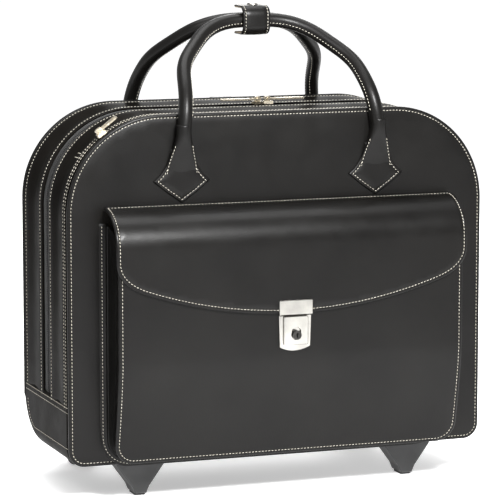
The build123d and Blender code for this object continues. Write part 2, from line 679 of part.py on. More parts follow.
BACKING = 1.2
BACKING_HALF = 15.0
with BuildPart() as lock_backing_plate:
    with BuildSketch(facing_front(POCKET_FRONT_Y + POCKET_WALL + BACKING + 0.1)):
        with Locations((0, (LOCK_LOW + LOCK_SPLIT) / 2)):
            RectangleRounded(2 * BACKING_HALF, 2 * BACKING_HALF, 2)
    extrude(amount=BACKING)
save(lock_backing_plate, "lock_backing_plate")

HASP_HALF = 17.2
HASP_LOW = LOCK_SPLIT + 0.4
HASP_HIGH = 194.3
with BuildPart() as hasp_plate:
    with BuildSketch(facing_front(FLAP_OUTER_Y - 0.02)):
        with Locations((0, (HASP_LOW + HASP_HIGH) / 2)):
            RectangleRounded(2 * HASP_HALF, HASP_HIGH - HASP_LOW, 1)
    extrude(amount=2.2)
    chamfer(hasp_plate.faces().sort_by(Axis.Y)[0].edges(), 0.7)
save(hasp_plate, "hasp_plate")

# ---- handle tabs -----------------------------------------------------------------------------
TAB_TIP_Z = 287.5
TAB_SIDE_Z = 309.3
TAB_SIDE_HALF = 29.0
TAB_NECK_HALF = 11.0
TAB_NECK_Z = 337.5
NECK_PAD = 8.0


def handle_tabs(face_y, outward):
    """Two kite-shaped tabs on a panel face, each with the raised neck that cradles its handle end."""
    thickness = TAB_THICK * outward
    with BuildPart() as tabs:
        plane = facing_front(face_y)
        with BuildSketch(plane) as kites:
            for side in LEFT_RIGHT:
                with Locations((side * HANDLE_HALF, 0)):
                    Polygon(
                        (0, TAB_TIP_Z), (TAB_SIDE_HALF, TAB_SIDE_Z), (TAB_NECK_HALF, TAB_NECK_Z),
                        (-TAB_NECK_HALF, TAB_NECK_Z), (-TAB_SIDE_HALF, TAB_SIDE_Z), align=None,
                    )
        extrude(kites.sketch, amount=-thickness)
        with BuildSketch(plane) as necks:
            with Locations(*[(side * HANDLE_HALF, TAB_NECK_Z - 6) for side in LEFT_RIGHT]):
                RectangleRounded(14, 14, 3)
        extrude(necks.sketch, amount=-(thickness + NECK_PAD * outward))
        with BuildSketch(facing_right(-HALF)) as cradles:
            with Locations((face_y + outward * HANDLE_STANDOFF, HANDLE_PIVOT_Z)):
                Circle(HANDLE_RADIUS + 0.5)
        extrude(cradles.sketch, amount=2 * HALF, mode=Mode.SUBTRACT)
    return tabs


save(handle_tabs(FRONT_Y, -1), "front_tabs")
save(handle_tabs(BACK_Y, 1), "rear_tabs")

# ---- rolled handles and the wrap that gathers them -------------------------------------------
def handle(face_y, outward, apex_y):
    """One arched handle: upright legs in front of its panel, then an arch leaning in over the case."""
    leg_y = face_y + outward * HANDLE_STANDOFF
    lean_y = apex_y - leg_y
    rise = HANDLE_TOP_Z - HANDLE_BEND_Z
    bend_half, crown_half = HANDLE_HALF - 3.5, 45.0
    shoulder_half, shoulder = bend_half - 8.5, 0.5
    with BuildPart() as rolled:
        with BuildLine() as route:
            FilletPolyline(
                (-HANDLE_HALF, leg_y, HANDLE_PIVOT_Z),
                (-bend_half, leg_y, HANDLE_BEND_Z),
                (-shoulder_half, leg_y + lean_y * shoulder, HANDLE_BEND_Z + rise * shoulder),
                (-crown_half, apex_y, HANDLE_TOP_Z),
                (crown_half, apex_y, HANDLE_TOP_Z),
                (shoulder_half, leg_y + lean_y * shoulder, HANDLE_BEND_Z + rise * shoulder),
                (bend_half, leg_y, HANDLE_BEND_Z),
                (HANDLE_HALF, leg_y, HANDLE_PIVOT_Z),
                radius=[38, 60, 62, 62, 60, 38],
            )
        start = Plane(route.line @ 0, z_dir=route.line % 0)
        with BuildSketch(start) as section:
            Circle(HANDLE_RADIUS)
        sweep(section.sketch, path=route.line)
        with Locations(*[(side * HANDLE_HALF, leg_y, HANDLE_PIVOT_Z) for side in LEFT_RIGHT]):
            Sphere(HANDLE_RADIUS)
    return rolled


front_apex_y = MIDDLE_Y - HANDLE_SPACING / 2
rear_apex_y = MIDDLE_Y + HANDLE_SPACING / 2
save(handle(FRONT_Y, -1, front_apex_y), "front_rolled_handle")
save(handle(BACK_Y, 1, rear_apex_y), "rear_rolled_handle")

wrap_front_y = front_apex_y - HANDLE_RADIUS - 0.4
wrap_rear_y = rear_apex_y + WRAP_LIP
wrap_outer = WRAP_ROOM + WRAP_WALL
with BuildPart() as handle_wrap:
    with BuildSketch(facing_right(-WRAP_WIDTH / 2)):
        with Locations((wrap_front_y - WRAP_WALL, HANDLE_TOP_Z)):
            Rectangle(
                wrap_rear_y - wrap_front_y + WRAP_WALL, 2 * wrap_outer, align=(Align.MIN, Align.CENTER)
            )
    extrude(amount=WRAP_WIDTH)
    fillet(handle_wrap.edges().filter_by(Axis.X).group_by(Axis.Y)[0], 7)
    with BuildSketch(facing_right(-WRAP_WIDTH / 2)) as wrap_room:
        with Locations((wrap_front_y, HANDLE_TOP_Z)):
            Rectangle(wrap_rear_y - wrap_front_y + 10, 2 * WRAP_ROOM, align=(Align.MIN, Align.CENTER))
        fillet(wrap_room.vertices().group_by(Axis.X)[0], 5)
    extrude(amount=WRAP_WIDTH, mode=Mode.SUBTRACT)
save(handle_wrap, "handle_wrap")

SNAP_RADIUS = 5.5
snap_low = HANDLE_TOP_Z + wrap_outer + 0.02
with BuildPart() as snap_cap:
    with BuildSketch(Plane.XY.offset(snap_low)):
        with Locations((0, MIDDLE_Y - 4)):
            Circle(SNAP_RADIUS)
    extrude(amount=2.4)
    fillet(snap_cap.faces().sort_by(Axis.Z)[-1].edges(), 1.8)
save(snap_cap, "snap_cap")

# ---- zip sliders and their pulls -------------------------------------------------------------
SLIDER_CENTRE_X = 12.0
SLIDER_LENGTH = 10.0
SLIDER_WIDTH = 9.0
SLIDER_HEIGHT = 3.0
SLIDER_RISE = 1.6        # clearance between the chain's crown and the slider
MAIN_PULL_LENGTH = 30.0
FRONT_PULL_LENGTH = 13.0
PULL_WIDTH = 8.0
PULL = 1.6
BAIL_RADIUS = 1.0

main_chain_top = TOP - CHAIN_INSET
slider_low = main_chain_top + SLIDER_RISE
slider_top = slider_low + SLIDER_HEIGHT
pull_axis_z = slider_top + 2.2


def slider(centre_x, direction, y, low):
    """A slider on the straight top run, with the lug that its pull hangs from."""
    with BuildPart() as body:
        with BuildSketch(Plane.XY.offset(low)) as foot:
            with Locations((centre_x, y)):
                Trapezoid(SLIDER_LENGTH, SLIDER_WIDTH, 78, rotation=90 * direction)
        extrude(foot.sketch, amount=SLIDER_HEIGHT)
        with BuildSketch(Plane.XZ.offset(-y - 1.6)) as lug:
            with Locations((centre_x, low + SLIDER_HEIGHT + 2.2)):
                SlotOverall(7.5, 5, 0)
                Circle(BAIL_RADIUS + 0.06, mode=Mode.SUBTRACT)
        extrude(lug.sketch, amount=3.2)
    return body


def pull(centre_x, direction, y, axis_z, length):
    """A pull tab: a cross pin through the slider's lug, two side arms and a flat tab."""
    with BuildPart() as tab:
        with BuildSketch(Plane.XZ.offset(-y - 3.6)) as pin:
            with Locations((centre_x, axis_z)):
                Circle(BAIL_RADIUS)
        extrude(pin.sketch, amount=7.2)
        with BuildSketch(Plane.XY.offset(axis_z - PULL / 2)) as outline:
            with Locations((centre_x + direction * 4.5, y)):
                Rectangle(11, 7.2)
            with Locations((centre_x + direction * 3.4, y)):
                Rectangle(10.4, 4.4, mode=Mode.SUBTRACT)
            with Locations((centre_x + direction * (8.8 + length / 2), y)):
                RectangleRounded(length, PULL_WIDTH, 2.5)
            with Locations((centre_x + direction * (4.8 + length), y)):
                Circle(1.6, mode=Mode.SUBTRACT)
        extrude(outline.sketch, amount=PULL)
    return tab


for direction, word in ((-1, "left"), (1, "right")):
    centre_x = SLIDER_CENTRE_X + direction * (SLIDER_LENGTH / 2 + 0.3)
    save(slider(centre_x, direction, MAIN_ZIP_Y, slider_low), f"main_slider_{word}")
    save(pull(centre_x, direction, MAIN_ZIP_Y, pull_axis_z, MAIN_PULL_LENGTH), f"main_pull_{word}")

# The front zip's slider stands at rest part way round the left upper corner.
FRONT_SLIDER_ANGLE = 37.0
corner_centre = (-(HALF - CORNER), TOP - CORNER)
front_slider_y = FRONT_ZIP_Y + 1.5
turn_about_corner = Axis((corner_centre[0], 0, corner_centre[1]), (0, 1, 0))
front_chain_top = TOP + 0.8
upright_slider = slider(corner_centre[0], 1, front_slider_y, front_chain_top)
upright_pull = pull(
    corner_centre[0], 1, front_slider_y, front_chain_top + SLIDER_HEIGHT + 2.2, FRONT_PULL_LENGTH
)
with BuildPart() as front_slider:
    add(upright_slider.part.rotate(turn_about_corner, -FRONT_SLIDER_ANGLE))
save(front_slider, "front_slider")
with BuildPart() as front_pull:
    add(upright_pull.part.rotate(turn_about_corner, -FRONT_SLIDER_ANGLE))
save(front_pull, "front_pull")
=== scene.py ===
import json
import math

import bmesh
import bpy
import numpy as np
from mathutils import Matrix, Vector
from mathutils.geometry import delaunay_2d_cdt


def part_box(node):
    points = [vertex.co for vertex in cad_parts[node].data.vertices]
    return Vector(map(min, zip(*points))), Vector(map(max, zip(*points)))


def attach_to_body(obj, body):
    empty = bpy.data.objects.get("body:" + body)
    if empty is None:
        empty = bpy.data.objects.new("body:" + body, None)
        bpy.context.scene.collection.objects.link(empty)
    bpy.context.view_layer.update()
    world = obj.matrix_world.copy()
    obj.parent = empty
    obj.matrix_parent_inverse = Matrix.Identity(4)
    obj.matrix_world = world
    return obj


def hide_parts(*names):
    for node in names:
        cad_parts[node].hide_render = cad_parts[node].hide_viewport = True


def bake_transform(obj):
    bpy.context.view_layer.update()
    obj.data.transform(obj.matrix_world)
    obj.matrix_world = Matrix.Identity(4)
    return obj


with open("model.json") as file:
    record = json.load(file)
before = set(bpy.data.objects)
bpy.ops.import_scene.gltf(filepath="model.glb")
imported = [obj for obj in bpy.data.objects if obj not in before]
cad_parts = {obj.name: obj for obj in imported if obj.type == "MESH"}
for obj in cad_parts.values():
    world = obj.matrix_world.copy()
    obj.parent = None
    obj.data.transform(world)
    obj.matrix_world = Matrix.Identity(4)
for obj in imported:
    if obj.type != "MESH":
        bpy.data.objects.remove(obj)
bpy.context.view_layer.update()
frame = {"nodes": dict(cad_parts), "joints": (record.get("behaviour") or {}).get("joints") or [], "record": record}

# ---- sizes taken from the frame, in metres ----
panel_lo, panel_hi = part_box("front_panel")
HALF, TOP, BOTTOM, FRONT_Y = panel_hi.x, panel_hi.z, panel_lo.z, panel_lo.y
BACK_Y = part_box("back_panel")[1].y
BACK_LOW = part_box("back_panel")[0].z
SEAM_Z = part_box("rear_gusset")[0].z
REAR_STRIP_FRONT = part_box("rear_gusset")[0].y
MIDDLE_STRIP_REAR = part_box("middle_gusset")[1].y
joint_at = {j["name"]: Vector(j["pos_m"]) for j in frame["joints"] if "pos_m" in j}

PANEL = 0.004            # leather on board
CORNER = 0.095           # upper corners of the case
LOW_CORNER = 0.016       # lower corners of the case
REAR_ROUND = 0.040       # rounded lower rear edge
LEVEL = 0.0012           # the strips' leather sits this far inside the panels' outline
ZIP_INSET = 0.0034       # zip tape below the outline
STRIP = 0.0022           # leather thickness of the strips
MAIN_ZIP_Y = 0.008
FRONT_ZIP_Y = -0.0669
STITCH_PITCH = 0.0034
STITCH_HALF = 0.00112    # half the length of one stitch
THREAD = 0.00034         # half the thread thickness
SEAM_SINK = 0.0002       # stitches lie this deep in their groove
LEFT_RIGHT = (-1, 1)
SIDE_NAME = {-1: "left", 1: "right"}


# ---- materials ----
def set_inputs(tree, node, inputs):
    """Sets each named input of a node to a value, or links it to another node's socket."""
    for name, value in inputs.items():
        if isinstance(value, bpy.types.NodeSocket):
            tree.links.new(value, node.inputs[name])
        else:
            node.inputs[name].default_value = value


def add_node(tree, kind, inputs):
    node = tree.nodes.new("ShaderNode" + kind)
    set_inputs(tree, node, inputs)
    return node


def new_material(name):
    """A Principled material with its object-space texture coordinates."""
    material = bpy.data.materials.new(name)
    material.use_nodes = True
    tree = material.node_tree
    coordinates = tree.nodes.new("ShaderNodeTexCoord").outputs["Object"]
    return material, tree, tree.nodes["Principled BSDF"], coordinates


def noise(tree, place, scale, detail, roughness=0.5):
    inputs = {"Vector": place, "Scale": scale, "Detail": detail, "Roughness": roughness}
    return add_node(tree, "TexNoise", inputs).outputs["Fac"]


def tint(tree, factor, dark, light):
    """Maps a factor to a colour between dark and light."""
    node = add_node(tree, "ValToRGB", {"Fac": factor})
    for index, position, colour in ((0, 0.35, dark), (1, 0.65, light)):
        node.color_ramp.elements[index].position = position
        node.color_ramp.elements[index].color = (*colour, 1)
    return node.outputs["Color"]


def spread(tree, factor, low, high, factor_low=0.3, factor_high=0.7):
    """A node that maps a factor to a number between low and high."""
    inputs = {"Value": factor, "From Min": factor_low, "From Max": factor_high, "To Min": low, "To Max": high}
    return add_node(tree, "MapRange", inputs)


def bump(tree, height, strength, distance, under=None):
    inputs = {"Height": height, "Strength": strength, "Distance": distance}
    if under is not None:
        inputs["Normal"] = under
    return add_node(tree, "Bump", inputs).outputs["Normal"]


def leather(name, dark, light, low=0.35, high=0.45, gloss=0.16, polish=0.04):
    """Smooth finished hide: fine pores, soft creases and a slightly uneven polish."""
    material, tree, shader, place = new_material(name)
    pores = add_node(tree, "TexVoronoi", {"Vector": place, "Scale": 620}).outputs["Distance"]
    grain = bump(tree, pores, 0.20, 0.00022)
    creases = bump(tree, noise(tree, place, 95, 6, 0.6), 0.12, 0.0009, grain)
    set_inputs(tree, shader, {
        "Base Color": tint(tree, noise(tree, place, 14, 4), dark, light),
        "Roughness": spread(tree, noise(tree, place, 40, 5), low, high).outputs["Result"],
        "Normal": bump(tree, noise(tree, place, 22, 2), 0.16, 0.0022, creases),
        "Specular IOR Level": gloss, "Coat Weight": polish, "Coat Roughness": 0.12})
    return material


def woven(name, dark, light, threads=1500.0, depth=0.00018, rough=0.85):
    """Plain weave: crossed bands of thread with small colour changes."""
    material, tree, shader, place = new_material(name)
    crossed = add_node(tree, "Math", {})
    crossed.operation = "ADD"
    for socket, direction in enumerate(("X", "Z")):
        inputs = {"Vector": place, "Scale": threads / (2 * math.pi), "Distortion": 0.6}
        bands = add_node(tree, "TexWave", inputs)
        bands.bands_direction = direction
        tree.links.new(bands.outputs["Fac"], crossed.inputs[socket])
    set_inputs(tree, shader, {
        "Base Color": tint(tree, noise(tree, place, 260, 3), dark, light),
        "Normal": bump(tree, crossed.outputs["Value"], 0.5, depth),
        "Roughness": rough, "Sheen Weight": 0.03})
    return material


def moulded(name, dark, light, low, high, grain=900.0, depth=0.00012):
    """Moulded plastic or rubber with a fine spark-eroded texture and rubbed patches."""
    material, tree, shader, place = new_material(name)
    set_inputs(tree, shader, {
        "Base Color": tint(tree, noise(tree, place, 30, 4), dark, light),
        "Roughness": spread(tree, noise(tree, place, 55, 4), low, high).outputs["Result"],
        "Normal": bump(tree, noise(tree, place, grain, 2), 0.35, depth)})
    return material


def metal(name, dark, light, low, high):
    """Plated or anodised metal with a slightly uneven polish and hairline marks."""
    material, tree, shader, place = new_material(name)
    stretched = add_node(tree, "Mapping", {"Vector": place, "Scale": (1.0, 1.0, 0.08)}).outputs["Vector"]
    set_inputs(tree, shader, {
        "Base Color": tint(tree, noise(tree, place, 60, 3), dark, light),
        "Roughness": spread(tree, noise(tree, place, 110, 4), low, high).outputs["Result"],
        "Normal": bump(tree, noise(tree, stretched, 1500, 3), 0.10, 0.00008),
        "Metallic": 1.0})
    return material


BLACK_LEATHER = leather("black_leather", (0.0018, 0.0016, 0.0014), (0.0034, 0.0031, 0.0027))
# Painted shade: a duller copy of the black leather for the strips and the base, with almost no gloss, so that the
# sides look darker than the front.
SHADED_SIDE_LEATHER = leather("shaded_side_leather", (0.0040, 0.0036, 0.0031), (0.0068, 0.0061, 0.0053),
                       0.30, 0.42, 0.005, 0.02)
THREAD_CREAM = woven("cream_thread", (0.34, 0.315, 0.26), (0.50, 0.47, 0.40), 4200.0, 0.00010, 0.7)
THREAD_DARK = woven("dark_thread", (0.020, 0.018, 0.016), (0.034, 0.031, 0.028), 4200.0, 0.00010, 0.6)
LINING = woven("tan_lining", (0.29, 0.225, 0.145), (0.40, 0.32, 0.215))
BOARD = woven("lined_board", (0.25, 0.195, 0.125), (0.35, 0.28, 0.19), 1200.0)
TAPE = woven("zip_tape", (0.004, 0.004, 0.004), (0.008, 0.008, 0.008), 2400.0, 0.00016, 0.8)
COIL = moulded("zip_coil", (0.006, 0.006, 0.006), (0.012, 0.012, 0.012), 0.40, 0.55)
PLASTIC = moulded("black_plastic", (0.0085, 0.0085, 0.009), (0.0155, 0.0155, 0.016), 0.42, 0.58)
BUTTON = moulded("button_plastic", (0.030, 0.030, 0.032), (0.045, 0.045, 0.047), 0.22, 0.32)
RUBBER = moulded("rubber", (0.018, 0.018, 0.018), (0.028, 0.028, 0.028), 0.75, 0.90, 500.0, 0.00020)
TUBE = metal("tube_metal", (0.22, 0.22, 0.23), (0.28, 0.28, 0.29), 0.28, 0.38)
STEEL = metal("steel", (0.50, 0.50, 0.50), (0.62, 0.62, 0.62), 0.30, 0.42)
NICKEL = metal("nickel", (0.33, 0.32, 0.30), (0.43, 0.42, 0.39), 0.12, 0.20)
DARK_STEEL = metal("dark_steel", (0.030, 0.029, 0.028), (0.050, 0.048, 0.046), 0.22, 0.34)
ZIP_METAL = metal("zip_metal", (0.56, 0.49, 0.37), (0.70, 0.63, 0.50), 0.20, 0.30)


# ---- mesh helpers ----
def unit(vectors):
    return vectors / np.maximum(np.linalg.norm(vectors, axis=-1, keepdims=True), 1e-12)


def add_piece(name, points, faces, materials, slots=None):
    """A smooth-shaded mesh object with outward normals."""
    mesh = bpy.data.meshes.new(name)
    mesh.from_pydata([tuple(p) for p in points], [], faces)
    for material in materials:
        mesh.materials.append(material)
    if slots is not None:
        mesh.polygons.foreach_set("material_index", slots)
    work = bmesh.new()
    work.from_mesh(mesh)
    bmesh.ops.recalc_face_normals(work, faces=work.faces)
    work.to_mesh(mesh)
    work.free()
    mesh.shade_smooth()
    piece = bpy.data.objects.new(name, mesh)
    bpy.context.scene.collection.objects.link(piece)
    return piece


def to_points(x, y, z):
    """Points from their coordinates, each given as one number or one value per point."""
    return np.stack(np.broadcast_arrays(x, y, z), axis=-1)


def attach(piece, body, node=None):
    """Puts a piece on its body and hides the CAD node that it stands in for."""
    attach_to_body(piece, body)
    if node is not None:
        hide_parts(node)


def loft(name, sections, material, lining=None, lined=(0, 0)):
    """Skins a run of closed cross sections, with both ends capped. Section points in lined get the lining."""
    count, around = sections.shape[:2]
    faces, slots = [], []
    for low in range(0, (count - 1) * around, around):
        for j in range(around):
            following = (j + 1) % around
            faces.append((low + j, low + following, low + around + following, low + around + j))
            slots.append(1 if lining and lined[0] <= j < lined[1] else 0)
    faces.append(tuple(range(around)))
    faces.append(tuple(range((count - 1) * around, count * around)))
    slots += [0, 0]
    materials = [material, lining] if lining else [material]
    return add_piece(name, sections.reshape(-1, 3), faces, materials, slots)


def rounded_outline(corners, radii, spacing=0.005):
    """A closed outline through the corners, each rounded by an arc, with points about spacing apart."""
    corners = np.array(corners, float)
    anchors = []
    for i, corner in enumerate(corners):
        back = unit(corners[i - 1] - corner)
        ahead = unit(corners[(i + 1) % len(corners)] - corner)
        half_angle = math.acos(np.clip(back @ ahead, -1, 1)) / 2
        radius = radii[i]
        reach = radius / math.tan(half_angle)
        centre = corner + unit(back + ahead) * radius / math.sin(half_angle)
        start, end = corner + back * reach - centre, corner + ahead * reach - centre
        turn = math.pi - 2 * half_angle
        steps = max(4, int(turn * radius / spacing * 2) + 1)
        t = np.linspace(0, 1, steps)[:, None]
        arc = (np.sin((1 - t) * turn) * start + np.sin(t * turn) * end) / math.sin(turn)
        anchors.append(centre + arc)
    return filled(np.concatenate(anchors), spacing)


def filled(points, spacing):
    """Closed polyline with long edges divided, so that no step is longer than spacing."""
    result = []
    for start, end in zip(points, np.roll(points, -1, axis=0)):
        steps = max(1, int(math.ceil(np.linalg.norm(end - start) / spacing)))
        result += [start + (end - start) * k / steps for k in range(steps)]
    return np.array(result)


def anticlockwise(outline):
    following = np.roll(outline, -1, axis=0)
    area = np.sum(outline[:, 0] * following[:, 1] - following[:, 0] * outline[:, 1])
    return outline if area > 0 else outline[::-1]


def inset_outline(outline, distance):
    """An anticlockwise outline moved inwards by a small distance."""
    before = unit(outline - np.roll(outline, 1, axis=0))
    after = unit(np.roll(outline, -1, axis=0) - outline)
    along = unit(before + after)
    outward = np.stack([along[:, 1], -along[:, 0]], axis=1)
    spread_out = 1 / np.maximum(np.sum(along * after, axis=1), 0.6)
    return outline - outward * (distance * spread_out)[:, None]


def upright(y, facing):
    """Surface of an upright plane at y, facing -1 towards the front or 1 towards the back."""
    def surface(flat):
        return to_points(flat[:, 0], y, flat[:, 1]), np.tile((0.0, float(facing), 0.0), (len(flat), 1))
    return surface


def grid_inside(outline, spacing):
    """Evenly spaced points inside an outline, with their distance from it."""
    low, high = outline.min(axis=0), outline.max(axis=0)
    across = np.arange(low[0] + spacing / 2, high[0], spacing)
    up = np.arange(low[1] + spacing / 2, high[1], spacing)
    grid = np.stack(np.meshgrid(across, up), axis=-1).reshape(-1, 2)
    start, end = outline, np.roll(outline, -1, axis=0)
    above_start = grid[:, None, 1] < start[None, :, 1]
    above_end = grid[:, None, 1] < end[None, :, 1]
    rise = np.where(np.abs(end[:, 1] - start[:, 1]) < 1e-12, 1e-12, end[:, 1] - start[:, 1])
    crossing = start[:, 0] + (grid[:, None, 1] - start[:, 1]) * (end[:, 0] - start[:, 0]) / rise
    inside = ((above_start != above_end) & (grid[:, None, 0] < crossing)).sum(axis=1) % 2 == 1
    distance = np.linalg.norm(grid[:, None] - outline[None], axis=2).min(axis=1)
    chosen = inside & (distance > 0.62 * spacing)
    return grid[chosen], distance[chosen]


def plate(name, outline, surface, material, thickness, groove=0.0036, dome=0.0, spacing=0.007, edge=0.0011,
          lining=None, dome_reach=0.045):
    """A leather panel cut to an outline: turned edge, stitch groove and a softly domed middle."""
    outline = anticlockwise(outline)
    radius = min(edge, thickness / 2)
    ring_plan = [(radius * 1.4, -thickness), (radius * 0.3, -thickness + radius * 0.35),
                 (0.0, -thickness + radius), (0.0, -radius), (radius * 0.3, -radius * 0.3), (radius, 0.0),
                 (groove - 0.0009, 0.0), (groove - 0.0004, -0.00022), (groove, -0.00036),
                 (groove + 0.0004, -0.00022), (groove + 0.0010, 0.0)]
    layers = []
    for inset, offset in ring_plan:
        points, normals = surface(inset_outline(outline, inset))
        layers.append(points + normals * offset)
    around, count = len(outline), len(layers)
    last = inset_outline(outline, ring_plan[-1][0])
    inner, distance = grid_inside(last, spacing)
    points, normals = surface(inner)
    swell = dome * (1 - np.clip(1 - distance / dome_reach, 0, 1) ** 2)
    layers.append(points + normals * swell[:, None])
    back, back_normal = surface(outline.mean(axis=0)[None])
    layers.append(back - back_normal * thickness)
    flat = [Vector(p) for p in np.concatenate([last, inner])]
    filled_in = delaunay_2d_cdt(flat, [], [list(range(around))], 1, 1e-7)
    back_centre = count * around + len(inner)
    source, crossings = [], []
    for place, origin in zip(filled_in[0], filled_in[3]):
        if origin:
            source.append((count - 1) * around + origin[0])
        else:
            source.append(back_centre + 1 + len(crossings))
            crossings.append(tuple(place))
    if crossings:
        layers.append(surface(np.array(crossings))[0])
    faces, slots = [], []
    for i in range(count - 1):
        for j in range(around):
            following = (j + 1) % around
            faces.append((i * around + j, i * around + following,
                          (i + 1) * around + following, (i + 1) * around + j))
            slots.append(0)
    for face in filled_in[2]:
        faces.append(tuple(source[v] for v in face))
        slots.append(0)
    for j in range(around):
        faces.append(((j + 1) % around, j, back_centre))
        slots.append(1 if lining else 0)
    return add_piece(name, np.concatenate(layers), faces, [material, lining] if lining else [material], slots)


def distances_along(points):
    return np.concatenate([[0], np.cumsum(np.linalg.norm(np.diff(points, axis=0), axis=1))])


def resampled(points, pitch):
    """Distances along a polyline of steps of about one pitch, and of the polyline's own points."""
    lengths = distances_along(points)
    count = max(2, int(round(lengths[-1] / pitch)))
    return (np.arange(count) + 0.5) * lengths[-1] / count, lengths


def along_path(values, lengths, at):
    return np.stack([np.interp(at, lengths, values[:, k]) for k in range(values.shape[1])], axis=1)


class Capsules:
    """Many small rounded bars in one mesh, such as stitches or the turns of a zip coil."""

    def __init__(self):
        self.points, self.faces, self.total = [], [], 0

    def add(self, centres, directions, normals, half, radius, rise, sink, sides=6):
        stations = ((-1.0, 0.0, -sink), (-0.72, 0.75, 0.4 * rise), (0.0, 1.0, rise),
                    (0.72, 0.75, 0.4 * rise), (1.0, 0.0, -sink))
        directions, normals = unit(directions), unit(normals)
        across = unit(np.cross(directions, normals))
        blocks = []
        for position, width, lift in stations:
            spine = centres + directions * half * position + normals * lift
            if width == 0.0:
                blocks.append(spine[:, None])
                continue
            angle = np.arange(sides) * 2 * math.pi / sides
            ring = across[:, None] * np.cos(angle)[None, :, None]
            ring = ring + normals[:, None] * np.sin(angle)[None, :, None]
            blocks.append(spine[:, None] + ring * radius * width)
        each = np.concatenate(blocks, axis=1)
        template = []
        for j in range(sides):
            following = (j + 1) % sides
            template.append((0, 1 + following, 1 + j))
            for ring in range(2):
                low, high = 1 + ring * sides, 1 + (ring + 1) * sides
                template.append((low + j, low + following, high + following, high + j))
            template.append((1 + 2 * sides + j, 1 + 2 * sides + following, 1 + 3 * sides))
        size = each.shape[1]
        for k in range(len(centres)):
            base = self.total + k * size
            self.faces += [tuple(base + v for v in face) for face in template]
        self.points.append(each.reshape(-1, 3))
        self.total += len(centres) * size

    def piece(self, name, material):
        return add_piece(name, np.concatenate(self.points), self.faces, [material])


thread = {}               # rows of stitches, by body and thread colour


def sew(body, points, normals, colour="cream", pitch=STITCH_PITCH):
    """A row of stitches along a path on one body, with one normal for all points or one for each."""
    normals = np.broadcast_to(normals, points.shape)
    at, lengths = resampled(points, pitch)
    centres = along_path(points, lengths, at)
    step = 0.0006
    ahead = along_path(points, lengths, np.minimum(at + step, lengths[-1]))
    behind = along_path(points, lengths, np.maximum(at - step, 0))
    directions = unit(ahead - behind)
    facing = unit(along_path(normals, lengths, at))
    directions = directions + 0.10 * np.cross(facing, directions)
    seam = thread.setdefault((body, colour), Capsules())
    seam.add(centres, directions, facing, STITCH_HALF * pitch / STITCH_PITCH, THREAD, 0.00018, 0.0003)


def sew_outline(body, outline, surface, groove, top=math.inf):
    """Stitches round a plate at its groove, as far up as top."""
    outline = anticlockwise(outline)
    line = inset_outline(outline, groove)
    clear = np.linalg.norm(line[:, None] - outline[None], axis=2).min(axis=1)
    line = line[clear > 0.93 * groove]
    sewn = line[:, 1] < top
    if sewn.all():
        line = np.concatenate([line, line[:1]])
    else:
        line = np.roll(line, -int(np.argmax(~sewn)), axis=0)
        line = line[line[:, 1] < top]
    points, normals = surface(line)
    sew(body, points - normals * SEAM_SINK, normals)


def sewn_panel(name, outline, surface, body, node, thickness, groove, **shape):
    """A lined leather panel in place of a CAD node, with stitches all round."""
    panel = plate(name, outline, surface, BLACK_LEATHER, thickness, groove=groove, lining=LINING, **shape)
    attach(panel, body, node)
    sew_outline(body, outline, surface, groove)


def mirrored(points, normals):
    """A path that ends on the middle plane, carried on over the other side."""
    points, normals = np.array(points), np.array(normals)
    backwards = slice(-2, None, -1)
    return (np.concatenate([points, points[backwards] * (-1, 1)]),
            np.concatenate([normals, normals[backwards] * (-1, 1)]))


# ---- the arched strips between the panels ----
def arch_stations(spacing=0.006):
    """Points and outward normals up the left side, over the top and down the right side."""
    centre_x, centre_z = HALF - CORNER, TOP - CORNER
    side = np.linspace(SEAM_Z - 0.004, centre_z, int((centre_z - SEAM_Z) / spacing), endpoint=False)
    turn = np.linspace(0, math.pi / 2, int(CORNER * math.pi / 2 / spacing * 1.5), endpoint=False)
    top = np.linspace(-centre_x, 0, int(centre_x / spacing))
    points = [(-HALF, z) for z in side]
    points += [(-centre_x - CORNER * math.cos(t), centre_z + CORNER * math.sin(t)) for t in turn]
    points += [(x, TOP) for x in top]
    normals = [(-1.0, 0.0)] * len(side) + [(-math.cos(t), math.sin(t)) for t in turn]
    normals += [(0.0, 1.0)] * len(top)
    points, normals = mirrored(points, normals)
    steps = np.linalg.norm(np.diff(points, axis=0), axis=1)
    fraction = np.concatenate([[0], np.cumsum(steps)]) / steps.sum()
    return points, normals, fraction


ARCH_POINTS, ARCH_NORMALS, ARCH_FRACTION = arch_stations()
ARCH_OUTWARD = to_points(ARCH_NORMALS[:, 0], 0.0, ARCH_NORMALS[:, 1])


def on_arch(y, inset):
    """Points at depth y and the given inset (numbers or one value per station) along the whole arch."""
    flat = ARCH_POINTS - ARCH_NORMALS * np.broadcast_to(inset, len(ARCH_POINTS))[:, None]
    return to_points(flat[:, 0], y, flat[:, 1])


def sag_along(deep):
    """How far a strip sinks between its stitched edges: most at the corners, least low on the sides."""
    half = np.minimum(ARCH_FRACTION, 1 - ARCH_FRACTION)
    shape = np.interp(half, (0, 0.10, 0.20, 0.285, 0.36, 0.5), (0.10, 0.25, 0.55, 1.0, 0.80, 0.62))
    ripple = 1 + 0.05 * np.sin(ARCH_FRACTION * 61) + 0.04 * np.sin(ARCH_FRACTION * 113 + 1)
    return deep * shape * ripple


def strip_inset(y, front, rear, grooves, sag_from, sag_to, depth, edges):
    """Inset of a leather strip's outer face at y."""
    inset = np.full_like(y, LEVEL)
    round_edge = 0.0014
    for end, turned in zip((front, rear), edges):
        near = np.clip(np.abs(y - end), 0, round_edge)
        fall = round_edge - np.sqrt(round_edge ** 2 - (round_edge - near) ** 2)
        inset = inset + fall * (1.0 if turned else 0.5)
    for groove in grooves:
        inset = inset + 0.00040 * np.exp(-((y - groove) / 0.0007) ** 2)
    across = np.clip((y - sag_from) / (sag_to - sag_from), 0, 1)
    return inset + depth * np.sin(math.pi * across) ** 1.6


